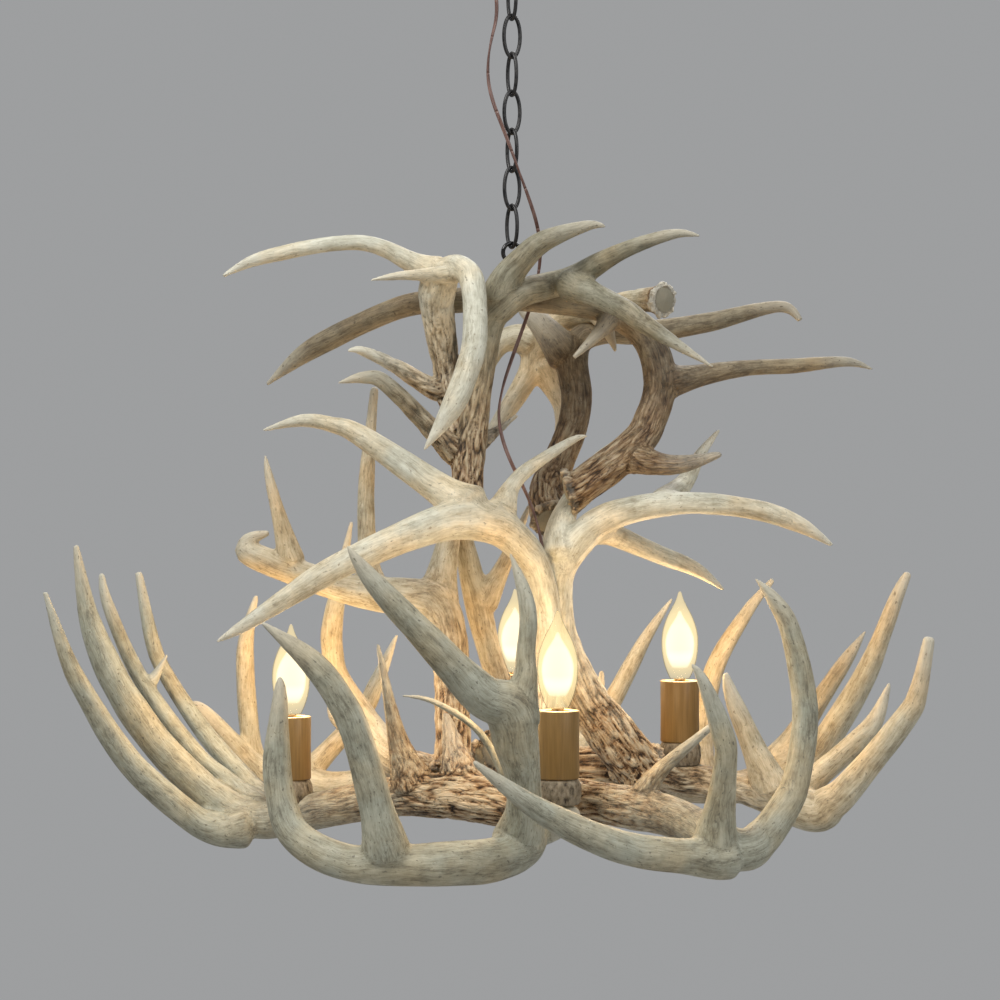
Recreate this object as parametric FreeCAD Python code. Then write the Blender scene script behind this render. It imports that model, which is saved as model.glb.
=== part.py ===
"""Antler chandelier: a cluster of shed antlers on a chain, with four candle lights.

The origin is the middle of the canopy's rim, on the ceiling. Z points up, so the
lamp hangs in -Z, and Y points away from the side that faces the room's entrance.
Lengths are in millimetres.
"""
import FreeCAD
import Part
import math
import os

from FreeCAD import Vector

# ---------------------------------------------------------------- driving sizes
CLEARANCE = 0.3             # between coped antlers and between hanging links
FIT = 0.05                  # radial gap of a threaded or pushed-in piece

# ceiling fitting
BAR_LENGTH = 96.0
BAR_WIDTH = 18.0
BAR_THICKNESS = 2.0
BOX_HOLE_SPACING = 70.0     # the two screws of a round ceiling box
BOX_HOLE_RADIUS = 2.3
NIPPLE_RADIUS = 5.0
NIPPLE_BORE = 3.4
LOCKNUT_HEIGHT = 4.0
LOCKNUT_RADIUS = 8.5
CANOPY_RADIUS = 63.5
CANOPY_DEPTH = 28.0
CANOPY_FLAT_RADIUS = 34.0
CANOPY_WALL = 1.2
CANOPY_RIM = 4.0            # upright part of its side
CANOPY_SHOULDER = 4.0       # inward from the rim to the shoulder
CANOPY_BOTTOM_DISH = 4.0    # from its flat bottom up to the shoulder
CANOPY_WAIST = 17.0         # level of its widest bend, under the ceiling
CANOPY_SIDES = 18
COLLAR_RADIUS = 9.0
COLLAR_HEIGHT = 6.0
LOOP_BOSS_RADIUS = 7.0
LOOP_BOSS_HEIGHT = 9.0
LOOP_RING_RADIUS = 10.0     # centre of the wire
LOOP_WIRE = 4.0
THREAD_MARGIN = 1.5         # left between the nipple's end and the loop's wire
CHAMFER = 1.0
PAST = 1.0                  # how far a cutting shape runs past what it cuts

# chain and the eye that the lamp hangs by
LINK_COUNT = 7
LINK_LENGTH = 42.1
LINK_WIDTH = 20.0
LINK_WIRE = 3.5
FIRST_EVEN_AZIMUTH = 24.0
CHAIN_TWIST = 1.5           # degrees from link to link, on top of the quarter turn
EYE_RING_RADIUS = 8.85
EYE_WIRE = 3.9
EYE_AZIMUTH = 22.0
EYE_SHANK_RADIUS = 2.6
EYE_SHANK_DEPTH = 16.0      # of screw inside the top antler
EYE_SHANK_SIDES = 8
EYE_REACH = 27.0            # round the eye, where its antler's top level is looked up
RING_CORNERS = 12           # bends of a wire ring; a multiple of 4, so it bears on flats
WIRE_SIDES = 6

# supply cord
CORD_DIAMETER = 3.4
CORD_GAP = 0.3
CORD_SIDES = 5
CORD_HOLE_POINTS = 4        # last points of the route, inside the antler
ARC_SHARE = 0.45            # of the shorter run beside it, that each bend takes up
BUSHING_FLANGE = 6.2
BUSHING_RADIUS = 4.0
BUSHING_FLANGE_HEIGHT = 1.6
BUSHING_ABOVE = 3.0
WIRE_NUT_RADIUS = 5.0
WIRE_NUT_LENGTH = 13.0
WIRE_NUT_SKIRT = 5.0
WIRE_NUT_TIP_RADIUS = 3.0

# antlers
LIMB_SIDES = 6              # flats round a beam or a tine
BURR_FLARE = 1.22           # the burr stands this much proud of the beam
BURR_NECK = 1.02
BURR_LENGTH = 7.0
PIN_RADIUS = 2.2
PIN_GRIP = 11.0             # depth of a hidden pin in each of its two antlers
PIN_SIDES = 6
SAMPLE_STEP = 6.0           # between the places where two antlers are compared

# candle lights
SEAT_RADIUS = 19.5          # slice of burr that each candle stands on
SEAT_HEIGHT = 22.0
SEAT_BULGE = 0.8
SEAT_FOOT = 3.0             # height of the eased lower edge
SEAT_HEAD = 4.0             # height of the eased upper edge
SEAT_BELLY = 10.0           # level of its widest part
SAW_ROOM = 2.0              # the sawn flat reaches this far past the seat
SAW_HEIGHT = 66.0           # antler taken off above the flat
SLEEVE_RADIUS = 18.5
SLEEVE_HEIGHT = 58.0
SLEEVE_EASING = 1.2
SOCKET_RADIUS = 10.5
SOCKET_SHORTFALL = 2.0      # the socket ends this far under the sleeve's rim
SOCKET_BORE_DEPTH = 22.0
BASE_RADIUS = 5.9
BASE_LENGTH = 20.0
BASE_TIP = 3.0              # tapered end under the thread
BASE_TIP_RADIUS = 3.5
BASE_GAP = 0.6
BASE_SHOWING = 4.0
BULB_WALL = 1.0
BULB_RADIUS = 17.5
BULB_HEIGHT = 83.0
TURNED_SIDES = 12

# ------------------------------------------------------------- worked-out levels
CANOPY_BOTTOM = -CANOPY_DEPTH
COLLAR_BOTTOM = CANOPY_BOTTOM - COLLAR_HEIGHT
LOOP_BOSS_BOTTOM = COLLAR_BOTTOM - LOOP_BOSS_HEIGHT
LOOP_CENTRE = LOOP_BOSS_BOTTOM - LOOP_RING_RADIUS
LINK_HALF = (LINK_LENGTH - LINK_WIRE) / 2
LINK_PITCH = LINK_LENGTH - 2 * LINK_WIRE - CLEARANCE
FIRST_LINK = (LOOP_CENTRE - LOOP_RING_RADIUS + (LOOP_WIRE + LINK_WIRE) / 2 + CLEARANCE
              - LINK_HALF)
LAST_LINK = FIRST_LINK - (LINK_COUNT - 1) * LINK_PITCH
EYE_CENTRE = (LAST_LINK - LINK_HALF + (LINK_WIRE + EYE_WIRE) / 2 + CLEARANCE
              - EYE_RING_RADIUS)
SLEEVE_FOOT = SEAT_HEIGHT
SLEEVE_TOP = SLEEVE_FOOT + SLEEVE_HEIGHT
SOCKET_TOP = SLEEVE_TOP - SOCKET_SHORTFALL
BASE_TOP = SOCKET_TOP + BASE_SHOWING

# --------------------------------------------------------------- shapes by hand
# Each antler is a beam and its tines, as (x, y, z, radius) from the eye's centre.
# A beam starts at its burr, and a tine starts inside the beam that it leaves.
ANTLERS = {
    "antler_front_left": (
        [(19, -86, -489, 16), (14, -134, -499, 17.5), (12, -186, -511, 18), (4, -234, -516, 18),
         (-19, -274, -520, 18.5), (-51, -299, -519, 18.5), (-91, -309, -519, 17),
         (-127, -309, -518, 15), (-157, -302, -509, 14.5), (-179, -294, -493, 13.5),
         (-188, -286, -469, 12.5), (-192, -279, -438, 11.5), (-190, -274, -385, 6),
         (-190, -274, -370, 2)],
        [(2, -236, -516, 16.5), (9, -259, -482, 15.5), (7, -274, -450, 15), (2, -284, -422, 19),
         (-5, -292, -394, 20), (-27, -302, -382, 17), (-67, -324, -339, 12.5),
         (-112, -336, -290, 8.5), (-132, -339, -262, 1.5)],
        [(0, -288, -408, 16), (9, -292, -372, 10), (10, -292, -350, 8), (12, -292, -323, 7.5),
         (8, -289, -299, 6), (-3, -284, -269, 1.5)],
        [(-101, -309, -515, 15), (-106, -319, -486, 14), (-123, -332, -418, 12.5),
         (-137, -336, -385, 11.5), (-160, -339, -354, 10), (-199, -342, -323, 2)],
        [(13, -166, -505, 14.5), (42, -178, -497, 13.5), (54, -179, -492, 8.5)],
        [(10, -139, -499, 8), (-8, -144, -463, 4.5), (-30, -154, -424, 3.5), (-67, -164, -399, 3),
         (-95, -169, -393, 1.5)],
    ),
    "antler_front_right": (
        [(28, -102, -487, 16.5), (52, -115, -487, 18), (109, -164, -491, 18), (141, -199, -496, 17),
         (184, -258, -513, 17), (205, -244, -505, 15.5), (225, -230, -482, 13.5),
         (237, -222, -456, 12), (244, -217, -400, 11), (232, -217, -337, 9), (218, -219, -310, 6.5),
         (201, -222, -291, 1)],
        [(182, -260, -514, 15.5), (152, -274, -517, 15), (85, -309, -504, 13.5), (21, -336, -472, 10),
         (-32, -350, -432, 2.5)],
        [(164, -266, -512, 14), (171, -292, -438, 10), (168, -298, -414, 9.5), (152, -307, -372, 5.5),
         (142, -310, -357, 1.5)],
        [(109, -164, -490, 11), (122, -170, -461, 7), (177, -180, -411, 3)],
    ),
    "antler_left": (
        [(10, -62, -499, 22.5), (-51, -46, -492, 21), (-115, -19, -497, 18), (-191, 14, -515, 16.5),
         (-228, 26, -522, 18.5), (-257, 31, -516, 17.5), (-289, 34, -492, 16), (-324, 34, -458, 15.5),
         (-354, 31, -417, 15), (-376, 28, -376, 13.5), (-392, 26, -331, 9.5), (-403, 23, -268, 3)],
        [(-242, 23, -526, 15.5), (-271, 14, -529, 13.5), (-300, 6, -513, 13), (-350, -9, -464, 12),
         (-388, -22, -401, 9.5), (-404, -27, -366, 7.5), (-422, -34, -309, 2.5)],
        [(-226, 31, -516, 10), (-267, 51, -486, 8), (-298, 61, -461, 8), (-349, 74, -396, 8),
         (-381, 81, -327, 6), (-388, 83, -296, 3)],
        [(-217, 34, -516, 10), (-248, 66, -490, 9.5), (-290, 92, -449, 9), (-329, 108, -395, 8),
         (-344, 114, -361, 7.5), (-358, 121, -296, 4)],
        [(-345, 72, -405, 5.5), (-336, 76, -392, 4), (-325, 78, -372, 1.5)],
        [(-88, -34, -488, 16.5), (-104, -39, -438, 8.5), (-121, -46, -355, 2)],
        [(-45, -44, -483, 14.5), (-49, -40, -465, 12.5), (-60, -32, -420, 3.5)],
    ),
    "antler_back_left": (
        [(-71, 120, -492, 19), (-111, 101, -474, 17), (-131, 116, -452, 15.5), (-165, 134, -402, 11.5),
         (-173, 140, -371, 11), (-172, 144, -338, 10), (-155, 148, -247, 2)],
        [(-134, 118, -452, 11.5), (-154, 146, -449, 8.5), (-173, 176, -437, 7), (-179, 196, -414, 2)],
    ),
    "antler_rear_left": (
        [(-28, 124, -480, 19), (-79, 151, -495, 17.5), (-159, 184, -508, 15.5), (-198, 191, -508, 16),
         (-228, 191, -507, 15), (-247, 186, -490, 12), (-256, 176, -457, 10), (-259, 159, -373, 8.5),
         (-248, 154, -319, 2.5)],
        [(-208, 191, -506, 13), (-194, 206, -489, 10.5), (-150, 234, -441, 9.5),
         (-136, 241, -412, 8.5), (-115, 251, -362, 2)],
        [(-233, 191, -507, 14), (-248, 176, -493, 12), (-296, 152, -436, 8.5), (-310, 148, -422, 2.5)],
    ),
    "antler_back": (
        [(-11, 123, -467, 20), (3, 206, -493, 17.5), (14, 256, -501, 17), (41, 311, -496, 16.5),
         (73, 351, -482, 14.5), (100, 371, -450, 11.5), (142, 378, -374, 7), (171, 380, -330, 2)],
        [(30, 291, -495, 14.5), (43, 326, -454, 11.5), (47, 346, -414, 8.5), (49, 356, -373, 2.5)],
        [(11, 261, -500, 13), (-11, 321, -449, 8.5), (-3, 336, -424, 2.5)],
        [(-1, 146, -475, 11.5), (33, 176, -457, 9), (63, 196, -436, 7.5), (86, 206, -415, 5.5),
         (90, 208, -396, 2.5)],
    ),
    "antler_right": (
        [(104, 64, -468, 19.5), (131, 84, -480, 17.5), (160, 92, -489, 15.5), (193, 90, -495, 14.5),
         (225, 81, -501, 15), (281, 54, -517, 19.5), (297, 46, -509, 17), (315, 40, -492, 14),
         (363, 26, -429, 11), (375, 22, -404, 9), (385, 18, -353, 5.5)],
        [(248, 71, -506, 15), (210, 61, -419, 8.5), (200, 59, -389, 3.5)],
        [(262, 66, -510, 14), (285, 86, -492, 11.5), (330, 101, -456, 11), (347, 104, -436, 8.5),
         (361, 106, -401, 2)],
    ),
    "antler_back_right": (
        [(24, 119, -478, 19), (60, 102, -480, 18), (90, 98, -480, 18.5), (116, 136, -489, 17.5),
         (146, 181, -503, 16.5), (187, 196, -511, 15.5), (232, 206, -510, 16), (267, 206, -496, 16.5),
         (294, 198, -485, 15.5), (316, 186, -454, 14), (349, 172, -393, 11), (376, 162, -321, 7),
         (387, 160, -297, 4)],
        [(262, 208, -496, 16), (296, 224, -444, 11), (334, 228, -388, 7.5), (355, 230, -357, 1.5)],
        [(187, 198, -509, 14), (189, 211, -470, 11.5), (202, 224, -398, 10), (234, 233, -342, 7),
         (263, 238, -306, 3)],
    ),
    "antler_column": (
        [(119, 30, -475, 23), (92, 8, -442, 22), (65, -6, -404, 19), (48, -12, -363, 15.5),
         (41, -18, -326, 14), (43, -24, -290, 14.5), (60, -29, -263, 15), (84, -30, -243, 13.5),
         (125, -28, -232, 11.5), (170, -24, -229, 10), (225, -19, -236, 9.5), (262, -16, -249, 7.5),
         (292, -14, -268, 2)],
        [(75, -29, -249, 12), (104, 16, -263, 9.5), (142, 46, -279, 9), (174, 61, -292, 7),
         (200, 71, -311, 2)],
        [(134, -24, -232, 10), (159, 11, -210, 8.5), (174, 31, -185, 5.5), (193, 41, -161, 2)],
        [(44, -34, -281, 12.5), (45, -19, -249, 12), (60, 11, -217, 9), (82, 34, -187, 6.5),
         (105, 46, -168, 3)],
    ),
    "antler_mid_left": (
        [(9, -58, -472, 15), (26, -44, -397, 14.5), (31, -42, -352, 13), (29, -44, -316, 13),
         (19, -60, -282, 14), (4, -71, -263, 16), (-15, -79, -249, 17.5), (-42, -89, -244, 17.5),
         (-73, -99, -250, 15.5), (-137, -119, -277, 12), (-172, -126, -296, 11), (-231, -139, -334, 6),
         (-256, -144, -349, 1.5)],
        [(-29, -82, -238, 17.5), (-54, -74, -224, 15), (-134, -56, -170, 10), (-161, -52, -159, 7.5),
         (-189, -49, -155, 6), (-225, -46, -164, 1.5)],
        [(-11, -74, -240, 10.5), (-1, -56, -215, 7), (16, -42, -197, 6.5), (55, -19, -172, 4),
         (69, -14, -168, 1.5)],
    ),
    "antler_mid_rear": (
        [(-55, -19, -473, 15.5), (-54, 6, -447, 15.5), (-56, 28, -402, 15.5), (-58, 36, -366, 17.5),
         (-69, 41, -329, 20.5), (-93, 44, -318, 19.5), (-156, 48, -309, 14), (-238, 56, -280, 12.5),
         (-248, 58, -270, 10), (-243, 56, -262, 6.5), (-227, 54, -257, 3)],
        [(-205, 52, -286, 9.5), (-225, 46, -210, 5), (-230, 44, -184, 1.5)],
        [(-130, 46, -312, 12), (-135, 61, -283, 9.5), (-137, 78, -214, 8), (-130, 88, -120, 4)],
        [(-71, 41, -324, 15), (-53, 73, -236, 8.5), (-39, 78, -206, 3)],
    ),
    "antler_mid_center": (
        [(0, 96, -457, 15), (-1, 96, -428, 13), (-20, 94, -374, 11.5), (-33, 90, -321, 12.5),
         (-51, 86, -231, 7.5), (-44, 88, -193, 3)],
        [(-29, 90, -328, 10.5), (-6, 86, -285, 7.5), (17, 76, -231, 2.5)],
    ),
    "antler_top_right": (
        [(51, -19, -219, 17.5), (66, -19, -212, 16.5), (113, -12, -175, 16), (128, -6, -149, 15.5),
         (135, 0, -124, 15.5), (133, 6, -98, 15), (122, 12, -75, 14.5), (101, 18, -57, 14.5),
         (72, 18, -46, 14), (0, 0, -40, 13), (-43, 2, -43, 12), (-103, 18, -49, 10.5),
         (-184, 48, -84, 10), (-230, 62, -118, 2)],
        [(131, 0, -121, 13), (207, 8, -106, 8), (259, 12, -103, 7), (307, 14, -99, 5),
         (333, 16, -106, 1.5)],
        [(106, -14, -185, 12), (129, -29, -193, 9.5), (153, -36, -194, 8.5), (188, -42, -185, 3)],
        [(92, 16, -57, 8.5), (80, -4, -73, 6), (56, -18, -97, 2.5)],
    ),
    "antler_top_front": (
        [(-38, -58, -237, 11.5), (-40, -44, -208, 13.5), (-37, -34, -172, 13.5),
         (-29, -30, -122, 11.5), (-20, -34, -68, 12.5), (-9, -38, -52, 13.5), (9, -32, -39, 13),
         (33, -13, -31, 12.5), (57, -20, -24, 11.5), (98, -58, -4, 8), (143, -72, 10, 5),
         (167, -76, 8, 1.5)],
        [(-15, -34, -53, 12.5), (-6, -40, -29, 12.5), (9, -48, -10, 11.5), (29, -53, 6, 9.5),
         (68, -58, 19, 5), (84, -60, 18, 1.5)],
        [(48, -18, -28, 12), (97, -78, -56, 10), (117, -96, -72, 9), (174, -129, -111, 1.5)],
        [(-44, -34, -186, 10), (-60, -40, -175, 9), (-111, -58, -124, 7.5), (-131, -62, -117, 6),
         (-155, -67, -122, 1.5)],
        [(-35, -26, -178, 7), (-16, -16, -165, 4), (5, -8, -149, 1.5)],
    ),
    "antler_top_left": (
        [(-45, -11, -168, 13), (-51, 0, -144, 13), (-58, 4, -121, 12.5), (-61, 1, -98, 12),
         (-68, -14, -53, 15.5), (-67, -26, -33, 16.5), (-58, -44, -20, 12.5), (-45, -64, -20, 11.5),
         (-35, -82, -36, 11.5), (-33, -110, -86, 11), (-41, -124, -118, 11), (-53, -134, -147, 10),
         (-77, -144, -184, 1.5)],
        [(-65, -34, -23, 12.5), (-83, -38, -16, 9), (-137, -44, 5, 7.5), (-220, -50, -8, 6.5),
         (-260, -54, -26, 2)],
        [(-51, -59, -25, 6.5), (-97, -86, -28, 4.5), (-125, -96, -33, 1.5)],
        [(-61, 4, -124, 9), (-73, -4, -124, 7), (-105, -16, -105, 6.5), (-136, -25, -91, 4),
         (-149, -28, -91, 1.5)],
    ),
    "antler_top_rear": (
        [(35, 2, -245, 15.5), (31, 26, -226, 15.5), (36, 46, -208, 15.5), (45, 56, -187, 14.5),
         (57, 61, -156, 14), (61, 64, -128, 14.5), (57, 70, -97, 15), (65, 82, -75, 13.5),
         (88, 86, -66, 12.5), (122, 88, -68, 11), (186, 86, -58, 9.5), (241, 82, -45, 6.5),
         (261, 80, -45, 5.5), (273, 78, -57, 3)],
        [(57, 70, -97, 14), (27, 76, -60, 11.5), (8, 80, -45, 4.5)],
    ),
    "antler_top_back": (
        [(139, 0, -43, 14), (126, 15, -42, 11.5), (108, 36, -42, 10), (62, 92, -51, 12), (39, 114, -61, 12.5),
         (24, 123, -82, 13.5), (16, 123, -107, 11.5), (-14, 113, -155, 7.5), (-30, 106, -171, 3)],
        [(26, 123, -92, 11.5), (47, 126, -135, 7.5), (43, 126, -169, 2.5)],
        [(24, 122, -76, 12.5), (2, 120, -71, 11), (-15, 118, -82, 9), (-32, 114, -126, 2.5)],
        [(79, 71, -46, 8.5), (88, 56, -63, 6.5), (97, 46, -88, 2)],
    ),
}

# Where two antlers cross, the first one is coped to the second, and a pin joins them.
COPED = (
    ("antler_front_left", "antler_left"),
    ("antler_front_right", "antler_front_left"),
    ("antler_mid_left", "antler_left"),
    ("antler_mid_rear", "antler_left"),
    ("antler_column", "antler_mid_left"),
    ("antler_right", "antler_column"),
    ("antler_back_right", "antler_right"),
    ("antler_back", "antler_back_right"),
    ("antler_rear_left", "antler_back"),
    ("antler_back_left", "antler_rear_left"),
    ("antler_mid_center", "antler_back"),
    ("antler_mid_center", "antler_mid_rear"),
    ("antler_top_right", "antler_column"),
    ("antler_top_rear", "antler_column"),
    ("antler_top_front", "antler_mid_left"),
    ("antler_top_front", "antler_top_right"),
    ("antler_top_left", "antler_top_front"),
    ("antler_top_left", "antler_top_right"),
    ("antler_top_back", "antler_top_rear"),
    ("antler_top_back", "antler_top_right"),
)
EYE_ANTLER = "antler_top_right"
CORD_ANTLER = "antler_mid_left"

# Each candle's axis and the level of its sawn seat, from the eye's centre.
CANDLES = {
    "front": (38, -177, -485, "antler_front_left"),
    "right": (160, 96, -478, "antler_right"),
    "left": (-204, 22, -506, "antler_left"),
    "back": (4, 226, -480, "antler_back"),
}

# The cord's route from the wire nut in the canopy to the hole in the antler, from
# the eye's centre: it hangs past the chain, and threads down through the antlers.
CORD_ROUTE = [
    (-20, -8, 292), (-20, -8, 274), (-18, -9, 253), (-14, -11, 232), (-14, -12, 212),
    (-19, -13, 193), (-22, -14, 174), (-22, -15, 154), (-17, -15, 134), (-9, -15, 114),
    (-1, -15, 93), (7, -13, 71), (15, -8, 50), (22, 0, 30), (26, 10, 11),
    (26, 19, -9), (22, 23, -30), (16, 20, -51), (8, 11, -74), (-1, 0, -99),
    (-9, -12, -124), (-13, -22, -149), (-9, -26, -172), (0, -28, -195), (11, -29, -216),
    (20, -31, -238), (26, -35, -260), (28, -39, -279), (31, -42, -297),
]

# Half outline of a flame-tip bulb above its base: (radius, height), as shares of the
# bulb's radius and height.
BULB_PROFILE = [
    (0.58, 0.0), (0.82, 0.16), (0.98, 0.31), (0.99, 0.45), (0.84, 0.64), (0.52, 0.79),
    (0.24, 0.91), (0.06, 1.0),
]


# ------------------------------------------------------------------ shape tools
def flat(corners):
    """A plane face through the given corners."""
    return Part.Face(Part.makePolygon(list(corners) + [corners[0]]))


def skin(rings, closed=False):
    """A solid with flat sides through rings of corners, in order."""
    faces = []
    count = len(rings[0])
    pairs = list(zip(rings, rings[1:]))
    if closed:
        pairs.append((rings[-1], rings[0]))
    for low, high in pairs:
        for i in range(count):
            j = (i + 1) % count
            a, b, c, d = low[i], low[j], high[j], high[i]
            tilt = (b - a).cross(d - a)
            if abs(tilt.dot(c - a)) < 1e-6 * max(tilt.Length, 1e-9):
                faces.append(flat([a, b, c, d]))
            else:
                faces += [flat([a, b, c]), flat([a, c, d])]
    if not closed:
        faces += [flat(rings[0]), flat(rings[-1])]
    shell = Part.makeShell(faces)
    shell.sewShape()
    solid = Part.Solid(shell)
    if solid.Volume < 0:
        solid.reverse()
    return solid


def side_of(axis):
    """A unit vector square to the axis."""
    helper = Vector(0, 0, 1) if abs(axis.z) < 0.8 else Vector(1, 0, 0)
    return axis.cross(helper).normalize()


def carried(side, axis):
    """The side vector turned as little as it takes to stand square to the axis."""
    return (side - axis * side.dot(axis)).normalize()


def ring_at(centre, axis, side, radius, sides):
    """Corners round a point, square to the axis."""
    other = axis.cross(side)
    corners = []
    for i in range(sides):
        turn = 2 * math.pi * (i + 0.5) / sides
        corners.append(centre + side * (radius * math.cos(turn))
                       + other * (radius * math.sin(turn)))
    return corners


def limb(stations, grow=0.0):
    """A tapering run through (centre, radius) stations, with its ends cut square."""
    centres = [station[0] for station in stations]
    last = len(centres) - 1
    rings = []
    side = None
    for i, (centre, radius) in enumerate(stations):
        axis = (centres[min(i + 1, last)] - centres[max(i - 1, 0)]).normalize()
        side = side_of(axis) if side is None else carried(side, axis)
        rings.append(ring_at(centre, axis, side, radius + grow, LIMB_SIDES))
    return skin(rings)


def turned(profile, sides=TURNED_SIDES):
    """A turned piece with flats: profile is (radius, height), closed round the wall."""
    faces = []
    for (r1, z1), (r2, z2) in zip(profile, profile[1:] + profile[:1]):
        for i in range(sides):
            a1 = 2 * math.pi * i / sides
            a2 = 2 * math.pi * (i + 1) / sides
            corners = []
            for radius, height, angle in ((r1, z1, a1), (r1, z1, a2), (r2, z2, a2), (r2, z2, a1)):
                point = Vector(radius * math.cos(angle), radius * math.sin(angle), height)
                if not corners or point.distanceToPoint(corners[-1]) > 1e-6:
                    corners.append(point)
            if len(corners) > 2 and corners[0].distanceToPoint(corners[-1]) < 1e-6:
                corners.pop()
            if len(corners) > 2:
                faces.append(flat(corners))
    shell = Part.makeShell(faces)
    shell.sewShape()
    solid = Part.Solid(shell)
    if solid.Volume < 0:
        solid.reverse()
    return solid


def post(radius, low, high, sides=TURNED_SIDES):
    """A solid round with flats, standing between two levels."""
    return turned([(0, low), (radius, low), (radius, high), (0, high)], sides)


def wire_ring(points, wire_radius, sides, normal):
    """A closed ring of bent wire through points that lie in one plane."""
    rings = []
    count = len(points)
    for i, centre in enumerate(points):
        before = (centre - points[i - 1]).normalize()
        after = (points[(i + 1) % count] - centre).normalize()
        mitre = (before + after).normalize()
        outward = mitre.cross(normal).normalize()
        stretch = 1 / mitre.dot(after)
        corners = []
        for k in range(sides):
            turn = 2 * math.pi * (k + 0.5) / sides
            corners.append(centre + outward * (wire_radius * stretch * math.cos(turn))
                           + normal * (wire_radius * math.sin(turn)))
        rings.append(corners)
    return skin(rings, closed=True)


def placed(shape, x=0.0, y=0.0, z=0.0):
    """The shape moved to its place."""
    moved = shape.copy()
    moved.translate(Vector(x, y, z))
    return moved


def save(name, shape):
    """Write one named piece."""
    if not shape.isValid():
        print("not valid:", name)
    shape.exportStep("parts/" + name + ".step")


# ----------------------------------------------------------------- the ceiling
def ceiling_fitting():
    """Crossbar, nipple, locknut, canopy, collar and loop, from the ceiling down."""
    thread = NIPPLE_RADIUS + FIT
    bar = Part.makeBox(BAR_LENGTH, BAR_WIDTH, BAR_THICKNESS,
                       Vector(-BAR_LENGTH / 2, -BAR_WIDTH / 2, -BAR_THICKNESS))
    bar = bar.cut(post(thread, -BAR_THICKNESS - PAST, PAST))
    for x in (-BOX_HOLE_SPACING / 2, BOX_HOLE_SPACING / 2):
        hole = Part.makeCylinder(BOX_HOLE_RADIUS, BAR_THICKNESS + 2 * PAST,
                                 Vector(x, 0, -BAR_THICKNESS - PAST))
        bar = bar.cut(hole)
    save("mounting_crossbar", bar)

    nipple_end = LOOP_BOSS_BOTTOM + THREAD_MARGIN + LOOP_WIRE / 2
    nipple = turned([(NIPPLE_BORE, 0), (NIPPLE_RADIUS, 0), (NIPPLE_RADIUS, nipple_end),
                     (NIPPLE_BORE, nipple_end)])
    save("threaded_nipple", nipple)

    nut_top = -BAR_THICKNESS
    nut = post(LOCKNUT_RADIUS, nut_top - LOCKNUT_HEIGHT, nut_top, 6)
    save("nipple_locknut", nut.cut(post(thread, nut_top - LOCKNUT_HEIGHT - PAST, nut_top + PAST)))

    wall = CANOPY_WALL
    inner = CANOPY_RADIUS - wall
    shoulder = (CANOPY_RADIUS + CANOPY_FLAT_RADIUS) / 2
    shoulder_level = CANOPY_BOTTOM + CANOPY_BOTTOM_DISH
    canopy = turned([
        (thread, CANOPY_BOTTOM), (CANOPY_FLAT_RADIUS, CANOPY_BOTTOM), (shoulder, shoulder_level),
        (CANOPY_RADIUS - CANOPY_SHOULDER, -CANOPY_WAIST), (CANOPY_RADIUS, -CANOPY_RIM),
        (CANOPY_RADIUS, 0), (inner, 0), (inner, -CANOPY_RIM),
        (inner - CANOPY_SHOULDER, -CANOPY_WAIST + wall / 2),
        (shoulder - wall / 2, shoulder_level + wall),
        (CANOPY_FLAT_RADIUS, CANOPY_BOTTOM + wall), (thread, CANOPY_BOTTOM + wall),
    ], CANOPY_SIDES)
    cord_x, cord_y, _ = CORD_ROUTE[0]
    cord_hole = post(BUSHING_RADIUS + FIT, CANOPY_BOTTOM - PAST, CANOPY_BOTTOM + BUSHING_ABOVE)
    save("canopy", canopy.cut(placed(cord_hole, cord_x, cord_y)))

    bushing = turned([
        (CORD_DIAMETER / 2 + CORD_GAP, CANOPY_BOTTOM - BUSHING_FLANGE_HEIGHT),
        (BUSHING_FLANGE, CANOPY_BOTTOM - BUSHING_FLANGE_HEIGHT), (BUSHING_FLANGE, CANOPY_BOTTOM),
        (BUSHING_RADIUS, CANOPY_BOTTOM), (BUSHING_RADIUS, CANOPY_BOTTOM + BUSHING_ABOVE),
        (CORD_DIAMETER / 2 + CORD_GAP, CANOPY_BOTTOM + BUSHING_ABOVE),
    ])
    save("cord_bushing", placed(bushing, cord_x, cord_y))

    nut_foot = EYE_CENTRE + CORD_ROUTE[0][2]
    connector = turned([(0, nut_foot), (WIRE_NUT_RADIUS, nut_foot),
                        (WIRE_NUT_RADIUS, nut_foot + WIRE_NUT_SKIRT),
                        (WIRE_NUT_TIP_RADIUS, nut_foot + WIRE_NUT_LENGTH),
                        (0, nut_foot + WIRE_NUT_LENGTH)])
    save("wire_nut", placed(connector, cord_x, cord_y))

    collar = turned([(thread, COLLAR_BOTTOM), (COLLAR_RADIUS - CHAMFER, COLLAR_BOTTOM),
                     (COLLAR_RADIUS, COLLAR_BOTTOM + CHAMFER),
                     (COLLAR_RADIUS, CANOPY_BOTTOM - CHAMFER),
                     (COLLAR_RADIUS - CHAMFER, CANOPY_BOTTOM), (thread, CANOPY_BOTTOM)])
    save("collar_ring", collar)

    boss = post(LOOP_BOSS_RADIUS, LOOP_BOSS_BOTTOM, COLLAR_BOTTOM)
    ring = ring_of(LOOP_RING_RADIUS, LOOP_RING_RADIUS, LOOP_WIRE / 2, azimuth(0))
    loop = boss.fuse(placed(ring, z=LOOP_CENTRE))
    save("canopy_loop", loop.cut(post(thread, nipple_end, COLLAR_BOTTOM + PAST)))


# ------------------------------------------------------------------- the chain
def azimuth(index):
    """Heading of a link's plane in degrees; index 0 is the canopy's loop."""
    quarter = 0 if index % 2 == 0 else -90
    return FIRST_EVEN_AZIMUTH + CHAIN_TWIST * index + quarter


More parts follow.
